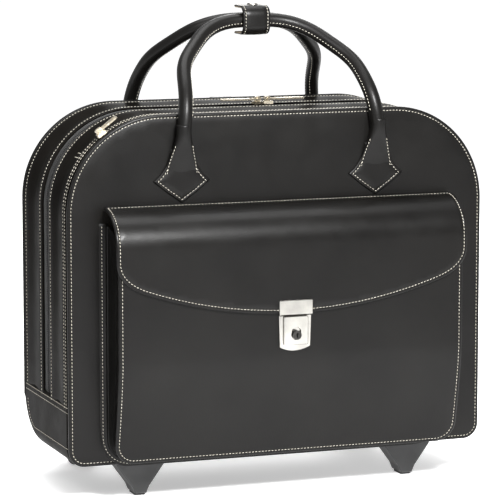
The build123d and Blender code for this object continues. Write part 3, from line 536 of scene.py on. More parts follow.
def leather_strip(name, front, rear, grooves, sag_from, sag_to, deep, body, replaces):
    """One arched leather strip with turned edges, stitch rows and a sagging middle."""
    fine = [front, front + 0.0003, front + 0.0008, rear - 0.0008, rear - 0.0003, rear]
    for groove in grooves:
        fine += [groove - 0.0010, groove - 0.0005, groove, groove + 0.0005, groove + 0.0010]
    outer_y = np.unique(np.concatenate([fine, np.linspace(front + 0.0014, rear - 0.0014, 22)]))
    inner_y = np.linspace(rear - 0.0006, front + 0.0006, 10)
    depths = sag_along(deep)
    plan = (front, rear, grooves, sag_from, sag_to)
    sections = []
    for point, normal, depth in zip(ARCH_POINTS, ARCH_NORMALS, depths):
        outer = strip_inset(outer_y, *plan, depth, (True, True))
        inner = strip_inset(inner_y, *plan, depth, (False, False)) + STRIP
        y = np.concatenate([outer_y, inner_y])
        inset = np.concatenate([outer, inner])
        sections.append(to_points(point[0] - normal[0] * inset, y, point[1] - normal[1] * inset))
    lined = (len(outer_y), len(outer_y) + len(inner_y) - 1)
    strip = loft(name, np.array(sections), SHADED_SIDE_LEATHER, LINING, lined)
    attach(strip, body, replaces)
    for groove in grooves:
        sew(body, on_arch(groove, LEVEL + 0.0001), ARCH_OUTWARD)


leather_strip("rear_strip", REAR_STRIP_FRONT, BACK_Y - PANEL - 0.0002, (0.0265, 0.0775), 0.0295, 0.0745,
              0.0055, "case", "rear_gusset")
leather_strip("middle_strip", -0.0622, MIDDLE_STRIP_REAR, (-0.0590, -0.0532, -0.0088), -0.0505, -0.0115,
              0.0050, "middle_shell", "middle_gusset")

# Two short bar tacks across the middle strip, on the left corner beside the front slider.
for slant in (math.radians(52.0), math.radians(55.0)):
    tack_y = np.linspace(-0.0490, -0.0350, 8)
    out = np.array((-math.sin(slant), 0.0, math.cos(slant)))
    reach = CORNER - LEVEL - 0.0004 - 0.0012 * np.linspace(0, 1, 8)
    hub = np.array((CORNER - HALF, 0.0, TOP - CORNER))
    sew("middle_shell", hub + out * reach[:, None] + to_points(0.0, tack_y, 0.0), out)


# ---- zips ----
COIL_PITCH = 0.0019


def zip_half(name, chain_y, tape_end, body, replaces, bar=0.0011):
    """Half of a zip: a woven tape and one side of its coil."""
    low, high = min(chain_y, tape_end), max(chain_y, tape_end)
    thick, inset = 0.0008, ZIP_INSET + 0.0002
    ring = ((low, inset), ((low + high) / 2, inset - 0.00015), (high, inset),
            (high, inset + thick), ((low + high) / 2, inset + thick), (low, inset + thick))
    sections = np.stack([on_arch(y, depth) for y, depth in ring], axis=1)
    tape = loft(f"{name}_tape", sections, TAPE)
    attach(tape, body, replaces)
    towards_tape = 1.0 if tape_end > chain_y else -1.0
    coil = Capsules()
    middle = on_arch(chain_y + towards_tape * bar, ZIP_INSET - 0.0003)
    at, lengths = resampled(middle, COIL_PITCH)
    centres = along_path(middle, lengths, at)
    facing = unit(along_path(ARCH_OUTWARD, lengths, at))
    directions = np.tile((0.0, towards_tape, 0.0), (len(centres), 1))
    coil.add(centres, directions, facing, bar, 0.00072, 0.00035, 0.0002)
    attach(coil.piece(f"{name}_coil", COIL), body)
    sew(body, on_arch(chain_y + towards_tape * (2 * bar + 0.0012), ZIP_INSET + 0.0001), ARCH_OUTWARD,
        colour="dark", pitch=0.0024)


zip_half("main_zip_rear", MAIN_ZIP_Y + 0.0003, REAR_STRIP_FRONT + 0.004, "case", "main_zip_rear_half")
zip_half("main_zip_front", MAIN_ZIP_Y - 0.0003, MIDDLE_STRIP_REAR - 0.004, "middle_shell",
         "main_zip_front_half")
zip_half("front_zip_rear", FRONT_ZIP_Y + 0.0003, -0.0580, "middle_shell", "front_zip_rear_half")
zip_half("front_zip_front", FRONT_ZIP_Y - 0.0003, FRONT_Y + PANEL - 0.0008, "front_shell",
         "front_zip_front_half", 0.00045)


# ---- panels ----
PANEL_GROOVE = 0.0036
PANEL_EDGE = 0.0017
front_outline = rounded_outline(((-HALF, BOTTOM), (HALF, BOTTOM), (HALF, TOP), (-HALF, TOP)),
                                (LOW_CORNER, LOW_CORNER, CORNER, CORNER))
sewn_panel("front_panel_leather", front_outline, upright(FRONT_Y, -1), "front_shell", "front_panel", PANEL,
           PANEL_GROOVE, dome=0.0011, edge=PANEL_EDGE)
back_outline = rounded_outline(((-HALF, BACK_LOW), (HALF, BACK_LOW), (HALF, TOP), (-HALF, TOP)),
                               (0.006, 0.006, CORNER, CORNER))
sewn_panel("back_panel_leather", back_outline, upright(BACK_Y, 1), "case", "back_panel", PANEL, PANEL_GROOVE,
           edge=PANEL_EDGE)

# ---- one-piece base ----
base_lo, base_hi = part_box("base_gusset")
BASE_HALF = base_hi.x + 0.0006
BASE_TOP = SEAM_Z + 0.0015
ROUND_Y, ROUND_Z = BACK_Y - REAR_ROUND, BOTTOM + REAR_ROUND


def base_ring(y_fraction, angle, inset):
    """The base's skin across the case: down one side, along the bottom and up the other side."""
    front = base_lo.y + 0.0003
    reach = REAR_ROUND - inset
    y = front + (ROUND_Y - front) * y_fraction + reach * math.sin(angle)
    low = ROUND_Z - reach * math.cos(angle)
    half, corner = BASE_HALF - inset, LOW_CORNER - inset
    turn = np.linspace(0, math.pi / 2, 8)
    side_z = np.linspace(BASE_TOP, low + corner, 8, endpoint=False)
    left = [(-half, z) for z in side_z]
    left += [(-half + corner * (1 - math.cos(t)), low + corner * (1 - math.sin(t))) for t in turn]
    bottom = [(x, low) for x in np.linspace(-half + corner, half - corner, 26)[1:-1]]
    right = [(-x, z) for x, z in reversed(left)]
    ring = np.array(left + bottom + right)
    if inset == 0:
        ring[0, 0] += 0.0010
        ring[-1, 0] -= 0.0010
    return to_points(ring[:, 0], y, ring[:, 1])


base_steps = [(f, 0.0) for f in np.linspace(0, 1, 14, endpoint=False)]
base_steps += [(1.0, a) for a in np.linspace(0, math.pi / 2, 14)]
base_sections = np.array([
    np.concatenate([base_ring(f, a, 0.0), base_ring(f, a, 0.0026)[::-1]]) for f, a in base_steps
])
around = base_sections.shape[1]
base = loft("base_leather", base_sections, SHADED_SIDE_LEATHER, LINING, (around // 2, around - 1))
attach(base, "case", "base_gusset")

# Two stitch rows under the cross seam, and one that follows the base's rounded lower edge.
seam_y = np.linspace(base_lo.y + 0.003, BACK_Y - PANEL - 0.002, 60)
trim_turn = np.linspace(0, math.pi / 2, 24)
trim_reach = REAR_ROUND - 0.013
trim_y = np.concatenate([np.linspace(base_lo.y + 0.003, ROUND_Y, 40, endpoint=False),
                         ROUND_Y + trim_reach * np.sin(trim_turn)])
trim_z = np.concatenate([np.full(40, BOTTOM + 0.013), ROUND_Z - trim_reach * np.cos(trim_turn)])
for side in LEFT_RIGHT:
    seam_x = side * (BASE_HALF - 0.0001)
    for row_y, row_z in ((seam_y, BASE_TOP - 0.0035), (seam_y, BASE_TOP - 0.0085), (trim_y, trim_z + 0.004)):
        sew("case", to_points(seam_x, row_y, row_z), (side, 0.0, 0.0))


# ---- patch pockets: the flap pocket, the laptop sleeve and the organiser ----
def u_path(half, low, top, corner, spacing=0.006):
    """Down the left side, along the bottom and up the right side, with outward normals."""
    side = np.linspace(top, low + corner, max(3, int((top - low) / spacing)), endpoint=False)
    turn = np.linspace(0, math.pi / 2, 9)
    points = [(-half, z) for z in side]
    normals = [(-1.0, 0.0)] * len(side)
    points += [(-half + corner * (1 - math.cos(t)), low + corner * (1 - math.sin(t))) for t in turn]
    normals += [(-math.cos(t), -math.sin(t)) for t in turn]
    bottom = np.linspace(-half + corner, 0, max(3, int(half / spacing)))[1:]
    points += [(x, low) for x in bottom]
    normals += [(0.0, -1.0)] * len(bottom)
    return mirrored(points, normals)


def pocket_walls(name, half, low, tops, corner, front_of, rear_y, material, lining, fold, flange=0.0):
    """Side and bottom walls of a pocket between its front and the panel behind, folded inwards a little."""
    front_top, rear_top = tops
    front, normals = u_path(half, low, front_top, corner)
    rear, _ = u_path(half, low, rear_top, corner)
    wall = 0.0022
    towards_rear = 1.0 if rear_y > front_of(low) else -1.0
    depth_steps = np.linspace(0, 1, 9)
    sections = []
    for f, r, n in zip(front, rear, normals):
        front_y = front_of(f[1]) + towards_rear * 0.0030
        outer, inner = [], []
        for t in depth_steps:
            sink = fold * math.sin(math.pi * t) ** 1.5
            flat = f + (r - f) * t
            y = front_y + (rear_y - front_y) * t
            outer.append((flat[0] - n[0] * sink, y, flat[1] - n[1] * sink))
            inner.append((flat[0] - n[0] * (sink + wall), y, flat[1] - n[1] * (sink + wall)))
        if flange:
            for reach, lift in ((0.0, 0.0020), (0.0012, 0.0014), (flange - 0.0006, 0.0014), (flange, 0.0008),
                                (flange, 0.0)):
                outer.append((r[0] + n[0] * reach, rear_y - towards_rear * lift, r[1] + n[1] * reach))
        sections.append(outer + inner[::-1])
    sections = np.array(sections)
    count = sections.shape[1]
    return loft(name, sections, material, lining, (count - len(depth_steps), count - 1))


pocket_lo, pocket_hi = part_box("pocket_front")
POCKET_HALF, POCKET_LOW, POCKET_TOP = pocket_hi.x, pocket_lo.z, pocket_hi.z
POCKET_FRONT_Y, POCKET_FOOT_Y, POCKET_BREAK = pocket_lo.y, -0.0970, 0.1380
POCKET_CORNER = 0.020
FLANGE = 0.0075
FLAP_GROOVE = 0.0034          # stitch groove of the pocket and its flap, from their edges


def pocket_y(z):
    """Depth of the pocket's front: leaning out to the break, then upright."""
    t = np.clip((z - POCKET_LOW) / (POCKET_BREAK - POCKET_LOW), 0, 1)
    soft = 1 - (1 - t) ** 1.35
    return POCKET_FOOT_Y + (POCKET_FRONT_Y - POCKET_FOOT_Y) * soft


def pocket_face(flat):
    points = to_points(flat[:, 0], pocket_y(flat[:, 1]), flat[:, 1])
    slope = (pocket_y(flat[:, 1] + 0.001) - pocket_y(flat[:, 1] - 0.001)) / 0.002
    return points, unit(to_points(0.0, -1.0, slope))


pocket_outline = rounded_outline(
    ((-POCKET_HALF, POCKET_LOW), (POCKET_HALF, POCKET_LOW), (POCKET_HALF, POCKET_TOP),
     (-POCKET_HALF, POCKET_TOP)), (POCKET_CORNER, POCKET_CORNER, 0.004, 0.004))
sewn_panel("pocket_front_leather", pocket_outline, pocket_face, "front_shell", "pocket_front", 0.0026,
           FLAP_GROOVE, spacing=0.006)

pocket_sides = pocket_walls("pocket_sides", POCKET_HALF - 0.0006, POCKET_LOW + 0.0006,
                            (POCKET_TOP - 0.001, POCKET_TOP + 0.024), POCKET_CORNER, pocket_y, FRONT_Y,
                            BLACK_LEATHER, LINING, 0.0035, FLANGE)
attach(pocket_sides, "front_shell", "pocket_gusset")
rim, _ = u_path(POCKET_HALF - 0.0006 + FLANGE - 0.0028, POCKET_LOW - FLANGE + 0.0034,
                POCKET_TOP + 0.022, POCKET_CORNER + FLANGE)
sew("front_shell", to_points(rim[:, 0], FRONT_Y - 0.0014, rim[:, 1]), (0.0, -1.0, 0.0))

# ---- flap ----
flap_lo, flap_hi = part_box("flap")
FLAP_HALF, FLAP_TIP, FLAP_TOP, FLAP_OUT_Y = flap_hi.x, flap_lo.z, flap_hi.z, flap_lo.y
FLAP_AXIS = joint_at["flap_lifts"]
FLAP_BEND_Z = 0.250
FLAP_SIDE_Z = 0.238
FLAP_SHOULDER_X, FLAP_SHOULDER_Z = 0.150, 0.206


def bezier(points, count):
    points = np.array(points, float)
    t = np.linspace(0, 1, count)[:, None]
    degree = len(points) - 1
    return sum(math.comb(degree, k) * t ** k * (1 - t) ** (degree - k) * points[k] for k in range(degree + 1))


BEND_POINTS = 50
flap_profile = np.concatenate([
    bezier(((FLAP_AXIS.y, FLAP_TOP), (FLAP_AXIS.y - 0.021, FLAP_TOP), (FLAP_OUT_Y, FLAP_BEND_Z + 0.0215),
            (FLAP_OUT_Y, FLAP_BEND_Z)), BEND_POINTS),
    [(FLAP_OUT_Y, FLAP_TIP - 0.005)],
])
flap_lengths = distances_along(flap_profile)
FLAP_BEND_S = flap_lengths[BEND_POINTS - 1]


def flap_face(flat):
    """The flap laid flat, x across and s down from the hinge, bent over the pocket."""
    s = np.clip(flat[:, 1], 0, flap_lengths[-1])
    step = 0.0015
    here, above, below = (along_path(flap_profile, flap_lengths, at) for at in (s, s - step, s + step))
    along = below - above
    return to_points(flat[:, 0], here[:, 0], here[:, 1]), unit(to_points(0.0, along[:, 1], -along[:, 0]))


def flap_s(z):
    return FLAP_BEND_S + FLAP_BEND_Z - z


chord_drop = FLAP_SHOULDER_Z - FLAP_TIP
flap_radius = (FLAP_SHOULDER_X ** 2 + chord_drop ** 2) / (2 * chord_drop)
lower_x = np.linspace(FLAP_SHOULDER_X, -FLAP_SHOULDER_X, 61)
lower_z = FLAP_TIP + flap_radius - np.sqrt(flap_radius ** 2 - lower_x ** 2)
ear_z = FLAP_SHOULDER_Z + (FLAP_HALF - FLAP_SHOULDER_X) * 0.343
ear = bezier(((FLAP_HALF, FLAP_SIDE_Z), (FLAP_HALF, ear_z), (FLAP_SHOULDER_X, FLAP_SHOULDER_Z)), 14)
flap_cut = [(FLAP_HALF, flap_s(FLAP_SIDE_Z + 0.002))]
flap_cut += [(x, flap_s(z)) for x, z in ear[:-1]]
flap_cut += [(x, flap_s(z)) for x, z in zip(lower_x, lower_z)]
flap_cut += [(-x, flap_s(z)) for x, z in ear[-2::-1]]
flap_cut += [(-FLAP_HALF, 0.002), (-FLAP_HALF + 0.002, 0.0), (FLAP_HALF - 0.002, 0.0), (FLAP_HALF, 0.002)]
flap_outline = filled(np.array(flap_cut), 0.005)
sewn_panel("flap_leather", flap_outline, flap_face, "flap", "flap", 0.0029, FLAP_GROOVE, spacing=0.0042)

# The rolled leather that joins the flap to the panel along its top edge.
ROLL_HALF_HEIGHT = 0.0017
roll_turn = np.linspace(0, 2 * math.pi, 15)[:-1]
roll_x = np.linspace(-FLAP_HALF + 0.0015, FLAP_HALF - 0.0015, 60)
roll_middle = (FRONT_Y + FLAP_AXIS.y - 0.0015) / 2
roll_half_depth = (FRONT_Y - FLAP_AXIS.y + 0.0015) / 2 + 0.0006
flap_roll = loft("flap_roll", to_points(roll_x[:, None], roll_middle + roll_half_depth * np.cos(roll_turn),
                                        FLAP_TOP - ROLL_HALF_HEIGHT + ROLL_HALF_HEIGHT * np.sin(roll_turn)),
                 BLACK_LEATHER)
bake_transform(flap_roll)


# ---- rolled handles, their tabs and the wrap ----
def tube_route(corner_points, radii, spacing=0.004):
    """A smooth route through straight runs whose corners are rounded."""
    points = np.array(corner_points, float)
    route = [points[0][None]]
    for i in range(1, len(points) - 1):
        back, ahead = unit(points[i - 1] - points[i]), unit(points[i + 1] - points[i])
        half_angle = math.acos(np.clip(back @ ahead, -1, 1)) / 2
        reach = radii[i - 1] / math.tan(half_angle)
        route.append(bezier((points[i] + back * reach, points[i], points[i] + ahead * reach), 14))
    route.append(points[-1][None])
    rough = np.concatenate(route)
    lengths = distances_along(rough)
    at = np.linspace(0, lengths[-1], int(lengths[-1] / spacing))
    smooth = along_path(rough, lengths, at)
    for _ in range(6):
        smooth[1:-1] = (smooth[:-2] + 2 * smooth[1:-1] + smooth[2:]) / 4
    return smooth


TAB_TIP_Z, TAB_SIDE_Z, TAB_SIDE_HALF = 0.2875, 0.3093, 0.0290
TAB_THICK = 0.0030
TAB_GROOVE = 0.0031
TAB_SEWN_Z = 0.3355           # the tab's own stitches stop here, under the neck
# The neck between tab and handle, by height: half width, half depth and distance from the panel.
NECK_Z = (0.3120, 0.3200, 0.3280, 0.3350, 0.3420, 0.3490, 0.3560, 0.3640)
NECK_HALF = (0.0175, 0.0168, 0.0146, 0.0124, 0.0102, 0.0084, 0.0074, 0.0071)
NECK_DEEP = (0.0012, 0.0019, 0.0028, 0.0040, 0.0054, 0.0066, 0.0072, 0.0071)
NECK_STAND = (0.0017, 0.0022, 0.0031, 0.0045, 0.0062, 0.0077, 0.0085, 0.0085)


def smooth_interp(at, known, values):
    """Values between the known ones, eased so that there is no kink."""
    fine = np.interp(at, known, values)
    for _ in range(3):
        fine[1:-1] = (fine[:-2] + 2 * fine[1:-1] + fine[2:]) / 4
    return fine


NECK_SEAM = (0.88, 0.475)     # place of the seam round the neck: shares of its half width and depth
NECK_SEWN = 19                # the seam stops where the neck turns into the tube
HANDLE_RADIUS = 0.0070
SEAM_ANGLE = 0.62             # radians round the tube from its raised seam to each stitch row
neck_joins = {}


def blend_neck(piece, panel_body, body, pivot):
    """Bakes a piece's transform into its mesh without bending it; panel_body, body and pivot are not used."""
    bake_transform(piece)


def rolled_handle(node, joint, facing, body, panel_body, panel_y, tab_node, label):
    """One rolled handle: leather sewn round a cord, with a seam inside its arch, and its tabs and necks."""
    low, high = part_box(node)
    radius = HANDLE_RADIUS
    pivot = joint_at[joint]
    half = high.x - radius
    apex_y = high.y - radius if facing < 0 else low.y + radius
    top = high.z - radius
    lean = apex_y - pivot.y
    bend_z = pivot.z + 0.038
    ends = [(half, pivot.y, pivot.z + 0.010), (half - 0.0035, pivot.y, bend_z),
            (half - 0.0110, pivot.y + lean * 0.45, bend_z + (top - bend_z) * 0.48),
            (0.0450, apex_y, top)]
    corners = [(-x, y, z) for x, y, z in ends] + ends[::-1]
    route = tube_route(corners, (0.055, 0.060, 0.066, 0.066, 0.060, 0.055))
    tangents = unit(np.gradient(route, axis=0))
    heart = np.array((0.0, (pivot.y + apex_y) / 2, bend_z))
    inward = heart - route
    inward = unit(inward - tangents * np.sum(inward * tangents, axis=1, keepdims=True))
    sideways = unit(np.cross(tangents, inward))
    angles = np.linspace(0, 2 * math.pi, 29)[:-1]
    from_seam = np.minimum(angles, 2 * math.pi - angles)
    reach = radius * (1 + 0.10 * np.exp(-(from_seam / 0.30) ** 2))
    reach = reach * (1 - 0.035 * np.exp(-((from_seam - SEAM_ANGLE) / 0.16) ** 2))
    sections = route[:, None] + (
        inward[:, None] * np.cos(angles)[None, :, None] + sideways[:, None] * np.sin(angles)[None, :, None]
    ) * reach[None, :, None]
    tube = loft(f"{label}_handle_leather", sections, BLACK_LEATHER)
    attach(tube, body, node)
    for angle in (-SEAM_ANGLE, SEAM_ANGLE):
        out = inward * math.cos(angle) + sideways * math.sin(angle)
        sew(body, (route + out * radius * 0.965)[4:-4], out[4:-4])
    face = upright(panel_y + facing * TAB_THICK, facing)
    for side in LEFT_RIGHT:
        centre, word = side * half, SIDE_NAME[side]
        flank = bezier(((TAB_SIDE_HALF, TAB_SIDE_Z), (0.0150, 0.3190), (0.0112, 0.3400)), 12)
        kite = [(0.0, TAB_TIP_Z), (TAB_SIDE_HALF * 0.55, TAB_TIP_Z + 0.0112),
                (TAB_SIDE_HALF - 0.0014, 0.3080)]
        kite += [tuple(p) for p in flank]
        kite += [(-x, z) for x, z in reversed(kite[1:])]
        outline = filled(np.array(kite) + (centre, 0.0), 0.003)
        tab = plate(f"{label}_{word}_tab", outline, face, BLACK_LEATHER, TAB_THICK + 0.0006, TAB_GROOVE,
                    dome=0.0008, spacing=0.0026, edge=0.0012, dome_reach=0.006)
        attach(tab, panel_body, tab_node if side < 0 else None)
        sew_outline(panel_body, outline, face, TAB_GROOVE, TAB_SEWN_Z)
        turn = np.linspace(0, 2 * math.pi, 29)[:-1]
        heights = np.linspace(NECK_Z[0], NECK_Z[-1], 30)
        wide = smooth_interp(heights, NECK_Z, NECK_HALF)
        deep = smooth_interp(heights, NECK_Z, NECK_DEEP)
        stand = smooth_interp(heights, NECK_Z, NECK_STAND)
        rings = to_points(centre + wide[:, None] * np.cos(turn),
                          panel_y + facing * stand[:, None] + deep[:, None] * np.sin(turn), heights[:, None])
        neck = loft(f"{label}_{word}_neck", rings, BLACK_LEATHER)
        blend_neck(neck, panel_body, body, pivot)
        for edge in LEFT_RIGHT:
            row = to_points(centre + edge * wide * NECK_SEAM[0],
                            panel_y + facing * (stand + deep * NECK_SEAM[1]), heights)
            out = unit(to_points(edge * NECK_SEAM[0] / wide, facing * NECK_SEAM[1] / deep, 0.0))
            sew(f"{label}_necks", row[:NECK_SEWN], out[:NECK_SEWN])
    neck_joins[f"{label}_necks"] = (panel_body, body, pivot)


rolled_handle("front_rolled_handle", "front_handle_swings", -1, "front_handle", "front_shell", FRONT_Y,
              "front_tabs", "front")
rolled_handle("rear_rolled_handle", "rear_handle_swings", 1, "rear_handle", "case", BACK_Y,
              "rear_tabs", "rear")

wrap_lo, wrap_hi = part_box("handle_wrap")
WRAP_HALF, WRAP_WALL = wrap_hi.x, 0.0028
wrap_middle_z = (wrap_lo.z + wrap_hi.z) / 2
wrap_high = (wrap_hi.z - wrap_lo.z) / 2 - WRAP_WALL / 2
bend = 0.0088
corner_y = wrap_lo.y + WRAP_WALL / 2 + bend
turn = np.linspace(math.pi / 2, math.pi, 12)
upper = [(y, wrap_high) for y in np.linspace(wrap_hi.y, corner_y, 12, endpoint=False)]
upper += [(corner_y + bend * math.cos(t), wrap_high - bend + bend * math.sin(t)) for t in turn]
front_run = [(corner_y - bend, z) for z in np.linspace(wrap_high - bend, bend - wrap_high, 6)[1:-1]]
strap_line = np.array(upper + front_run + [(y, -z) for y, z in reversed(upper)])
strap_along = unit(np.gradient(strap_line, axis=0))
strap_out = np.stack([strap_along[:, 1], -strap_along[:, 0]], axis=1)
if strap_out[0, 1] < 0:
    strap_out = -strap_out
groove_x = WRAP_HALF - 0.0030
wrap_plan = [(-WRAP_HALF, 0.0), (-WRAP_HALF + 0.0004, 0.0009), (-WRAP_HALF + 0.0013, 0.0014),
             (-groove_x - 0.0007, 0.0015), (-groove_x, 0.0011), (-groove_x + 0.0008, 0.0015),
             (-0.006, 0.0018), (0.0, 0.0019), (0.006, 0.0018),
             (groove_x - 0.0008, 0.0015), (groove_x, 0.0011), (groove_x + 0.0007, 0.0015),
             (WRAP_HALF - 0.0013, 0.0014), (WRAP_HALF - 0.0004, 0.0009), (WRAP_HALF, 0.0),
             (WRAP_HALF - 0.0010, -0.0012), (0.0, -0.0013), (-WRAP_HALF + 0.0010, -0.0012)]
wrap_sections = np.array([
    [(x, y + out[0] * lift, wrap_middle_z + z + out[1] * lift) for x, lift in wrap_plan]
    for (y, z), out in zip(strap_line, strap_out)
])
wrap = loft("handle_wrap_leather", wrap_sections, BLACK_LEATHER, LINING, (14, len(wrap_plan)))
attach(wrap, "front_handle", "handle_wrap")
wrap_seam = strap_line + strap_out * 0.0012
for x in (-groove_x, groove_x):
    sew("front_handle", to_points(x, wrap_seam[:, 0], wrap_middle_z + wrap_seam[:, 1]),
        to_points(0.0, strap_out[:, 0], strap_out[:, 1]))

# ---- leather channel over the trolley tubes ----
cover_lo, cover_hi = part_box("trolley_cover")
cover_turn = np.linspace(0, math.pi / 2, 7)
cover_radius, cover_wall = 0.0060, 0.0024
COVER_SEAM = 0.0065           # the stitch rows lie this far from the cover's ends
right_side = [(cover_hi.x, cover_lo.y + 0.0002), (cover_hi.x, cover_lo.y + 0.005)]
right_side += [(cover_hi.x - cover_radius * (1 - math.cos(t)), cover_hi.y - cover_radius * (1 - math.sin(t)))
               for t in cover_turn]
flat_run = [(x, cover_hi.y) for x in np.linspace(cover_hi.x - cover_radius, 0, 12)[1:]]
outer_cover = np.array(right_side + flat_run)
outer_cover = np.concatenate([outer_cover, outer_cover[-2::-1] * (-1, 1)])
inner_cover = np.stack([np.clip(outer_cover[:, 0], -cover_hi.x + cover_wall, cover_hi.x - cover_wall),
                        np.minimum(outer_cover[:, 1], cover_hi.y - cover_wall)], axis=1)[::-1]
cover_sections = []
cover_z = np.concatenate([[cover_lo.z, cover_lo.z + 0.0006], np.linspace(cover_lo.z + 0.002,
                          cover_hi.z - 0.002, 40), [cover_hi.z - 0.0006, cover_hi.z]])
for k, z in enumerate(cover_z):
    shrink = 0.0009 if k in (0, len(cover_z) - 1) else (0.0003 if k in (1, len(cover_z) - 2) else 0.0)
    shrink += 0.0004 * math.exp(-((z - cover_hi.z + COVER_SEAM) / 0.0007) ** 2)
    ring = np.concatenate([outer_cover - np.sign(outer_cover) * (shrink, 0) - (0, shrink), inner_cover])
    cover_sections.append(to_points(ring[:, 0], ring[:, 1], z))
cover = loft("trolley_cover_leather", np.array(cover_sections), BLACK_LEATHER)
attach(cover, "case", "trolley_cover")
for z in (cover_hi.z - COVER_SEAM, cover_lo.z + COVER_SEAM):
    row = to_points(outer_cover[2:-2, 0], outer_cover[2:-2, 1] - SEAM_SINK, z)
    out = unit(to_points(np.where(np.abs(row[:, 0]) > cover_hi.x - 0.003, np.sign(row[:, 0]), 0.0),
                         np.where(row[:, 1] > cover_hi.y - 0.003, 1.0, 0.0), 0.0))
    sew("case", row, out)
for side in LEFT_RIGHT:
    flange_x = side * (cover_hi.x + 0.0048)
    z = np.linspace(cover_lo.z + 0.002, cover_hi.z - 0.001, 60)
    plan = ((-0.0048, 0.0), (-0.0048, 0.0012), (-0.0010, 0.0014), (0.0, 0.0010), (0.0010, 0.0014),
            (0.0036, 0.0013), (0.0044, 0.0006), (0.0044, 0.0))
    strip = np.array([[(flange_x + side * x, BACK_Y + lift, height) for x, lift in plan] for height in z])
    flange = loft(f"trolley_cover_flange_{SIDE_NAME[side]}", strip, BLACK_LEATHER)
    attach(flange, "case")
    sew("case", to_points(flange_x, BACK_Y + 0.0009, z), (0.0, 1.0, 0.0))

# ---- inside: divider, laptop sleeve and organiser ----
divider_lo, divider_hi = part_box("padded_divider")
divider_corner = CORNER - (HALF - divider_hi.x)
divider_outline = rounded_outline(
    ((divider_lo.x, divider_lo.z), (divider_hi.x, divider_lo.z), (divider_hi.x, divider_hi.z),
     (divider_lo.x, divider_hi.z)), (LOW_CORNER, LOW_CORNER, divider_corner, divider_corner), 0.008)
DIVIDER_CROWN = 0.0008
DIVIDER_GROOVE = 0.009
divider_face = upright(divider_hi.y - DIVIDER_CROWN, 1)
divider = plate("divider_pad", divider_outline, divider_face, LINING,
                divider_hi.y - divider_lo.y - DIVIDER_CROWN, groove=DIVIDER_GROOVE, dome=DIVIDER_CROWN,
                edge=0.0036)
attach(divider, "middle_shell", "padded_divider")
sew_outline("middle_shell", divider_outline, divider_face, DIVIDER_GROOVE)


def inner_pocket(node, body, label, rear_y, pad, corner):
    """A lining pocket open at the top: a front with a bound edge, and its side and bottom walls."""
    low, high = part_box(node)
    outline = rounded_outline(((low.x, low.z), (high.x, low.z), (high.x, high.z), (low.x, high.z)),
                              (corner, corner, 0.006, 0.006), 0.008)
    face = upright(low.y, -1)
    front = plate(f"{label}_front", outline, face, LINING, pad, groove=0.0045, edge=pad / 2.2)
    walls = pocket_walls(f"{label}_walls", high.x - 0.0008, low.z + 0.0008, (high.z - 0.002, high.z - 0.002),
                         corner, lambda z: low.y, rear_y, LINING, None, 0.0015)
    attach(front, body, node)
    attach(walls, body)
    sew_outline(body, outline, face, 0.0045)
    return low, high


inner_pocket("laptop_sleeve", "case", "laptop_sleeve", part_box("laptop_sleeve")[1].y, 0.004, 0.010)
organiser_lo, organiser_hi = inner_pocket("organiser_pocket", "middle_shell", "organiser",
                                          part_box("organiser_pocket")[1].y, 0.002, 0.012)
for x in (-0.055, 0.045):
    z = np.linspace(organiser_lo.z + 0.006, organiser_hi.z - 0.006, 40)
    sew("middle_shell", to_points(x, organiser_lo.y - 0.0001, z), (0.0, -1.0, 0.0))


GORE_FOOT, GORE_TOP = 0.100, 0.300


def gore(label, side, edges, fold_x, fold_y):
    """A folded triangle of lining that joins two shells at the side, spread open like a bellows towards the top.
    """
    (first_x, first_y), (last_x, last_y) = edges
    cloth = 0.0007
    sections = []
    for z in np.linspace(GORE_FOOT, GORE_TOP, 26):
        open_share = (z - GORE_FOOT + 0.005) / (GORE_TOP - GORE_FOOT + 0.005)
        inner_x = first_x + (fold_x - first_x) * open_share
        spine = np.array([(first_x, first_y), ((first_x + inner_x) / 2, (first_y + fold_y) / 2 + 0.0006),
                          (inner_x, fold_y), ((last_x + inner_x) / 2, (last_y + fold_y) / 2 - 0.0006),
                          (last_x, last_y)])
        offset = np.array((0.0, cloth / 2))
        ring = np.concatenate([spine - offset - np.array([(0, 0), (0, 0), (cloth, 0), (0, 0), (0, 0)]),
                               (spine + offset)[::-1]])
        sections.append(to_points(side * ring[:, 0], ring[:, 1], z))
    piece = loft(f"{label}_gore_{SIDE_NAME[side]}", np.array(sections), LINING)
    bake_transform(piece)


for side in LEFT_RIGHT:
    gore("main", side, ((0.2085, 0.0058), (0.2100, 0.0160)), 0.1800, 0.0110)
    gore("front", side, ((0.1990, -0.0655), (0.2085, -0.0565)), 0.1500,
         -0.0605)

# ---- stitching, one mesh for each body and thread ----
for (body, colour), rows in thread.items():
    stitches = rows.piece(f"stitching_{body}_{colour}", THREAD_CREAM if colour == "cream" else THREAD_DARK)
    if body in neck_joins:
        blend_neck(stitches, *neck_joins[body])
    else:
        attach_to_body(stitches, body)

# ---- hard parts keep their shape and get their finish ----
finish_of_slot = {
    "board": BOARD, "lining": LINING, "black_plastic": PLASTIC, "button_plastic": BUTTON,
    "rubber_pad": RUBBER, "wheel_rubber": RUBBER, "tube_metal": TUBE, "steel": STEEL, "nickel": NICKEL,
    "zip_metal": ZIP_METAL, "leather": BLACK_LEATHER, "zip_tape": TAPE,
}
for row in frame["record"]["subparts"]:
    node = frame["nodes"][row["node"]]
    node.data.materials.clear()
    finish = DARK_STEEL if row["node"] == "key_cylinder" else finish_of_slot[row["material_slot"]]
    node.data.materials.append(finish)
    if row["material_slot"] in ("black_plastic", "button_plastic", "nickel", "zip_metal", "tube_metal"):
        soften = node.modifiers.new("soft_edges", "BEVEL")
        soften.width = 0.0004
        soften.segments = 2
        soften.limit_method = "ANGLE"
        soften.angle_limit = math.radians(40)
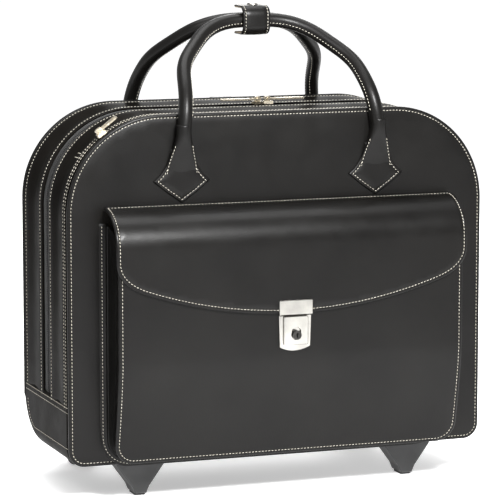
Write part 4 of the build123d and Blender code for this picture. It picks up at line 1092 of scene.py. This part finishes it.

# ---- floor, light and camera ----
# The floor glows to keep it white, and glows less towards the left and more towards the right: painted light, so
# that the case's left side reflects a darker floor.
floor_material, floor_tree, floor_shader, floor_place = new_material("pale_floor")
across = add_node(floor_tree, "VectorMath", {0: floor_place, 1: (0.94, 0.34, 0)})
across.operation = "DOT_PRODUCT"
glow = spread(floor_tree, across.outputs["Value"], 0.26, 0.62, -1.0, 0.8)
glow.interpolation_type = "SMOOTHSTEP"
set_inputs(floor_tree, floor_shader, {
    "Base Color": (0.92, 0.92, 0.92, 1), "Roughness": 0.9, "Emission Color": (1, 1, 1, 1),
    "Emission Strength": glow.outputs["Result"]})
floor_mesh = bpy.data.meshes.new("floor")
floor_mesh.from_pydata([(-30, -30, 0), (30, -30, 0), (30, 30, 0), (-30, 30, 0)], [], [(0, 1, 2, 3)])
floor_mesh.materials.append(floor_material)
floor = bpy.data.objects.new("floor", floor_mesh)
bpy.context.scene.collection.objects.link(floor)

world = bpy.data.worlds.new("studio")
world.use_nodes = True
sky = world.node_tree
height = add_node(sky, "SeparateXYZ", {"Vector": sky.nodes.new("ShaderNodeTexCoord").outputs["Generated"]})
shade = spread(sky, height.outputs["Z"], 0.70, 0.40, 0.05, 0.75)
set_inputs(sky, sky.nodes["Background"], {"Color": (1, 1, 1, 1), "Strength": shade.outputs["Result"]})
bpy.context.scene.world = world
bpy.context.scene.view_settings.view_transform = "Standard"


def soft_light(name, place, target, size, power):
    light = bpy.data.lights.new(name, "AREA")
    light.shape = "RECTANGLE"
    light.size, light.size_y = size
    light.energy = power
    lamp = bpy.data.objects.new(name, light)
    lamp.location = place
    lamp.rotation_euler = (Vector(target) - Vector(place)).to_track_quat("-Z", "Y").to_euler()
    bpy.context.scene.collection.objects.link(lamp)


soft_light("key", (-0.05, -1.00, 0.95), (-0.05, 0, 0.32), (0.30, 0.30), 36)
soft_light("fill", (-1.0, -1.2, 1.5), (0, 0, 0.30), (0.9, 0.9), 12)
soft_light("top", (0.0, 0.2, 1.8), (0, 0, 0.3), (1.4, 1.0), 26)
soft_light("back", (0.9, 1.7, 1.3), (0, 0, 0.2), (1.2, 1.2), 22)

camera_data = bpy.data.cameras.new("camera")
camera_data.sensor_width = 36
camera_data.lens = 214.0
camera_data.clip_end = 100
camera = bpy.data.objects.new("camera", camera_data)
camera.location = (-1.01638, -2.77415, 0.64327)
look = Vector((-0.00106, 0.008, 0.22613)) - Vector(camera.location)
camera.rotation_euler = look.to_track_quat("-Z", "Y").to_euler()
bpy.context.scene.collection.objects.link(camera)
bpy.context.scene.camera = camera
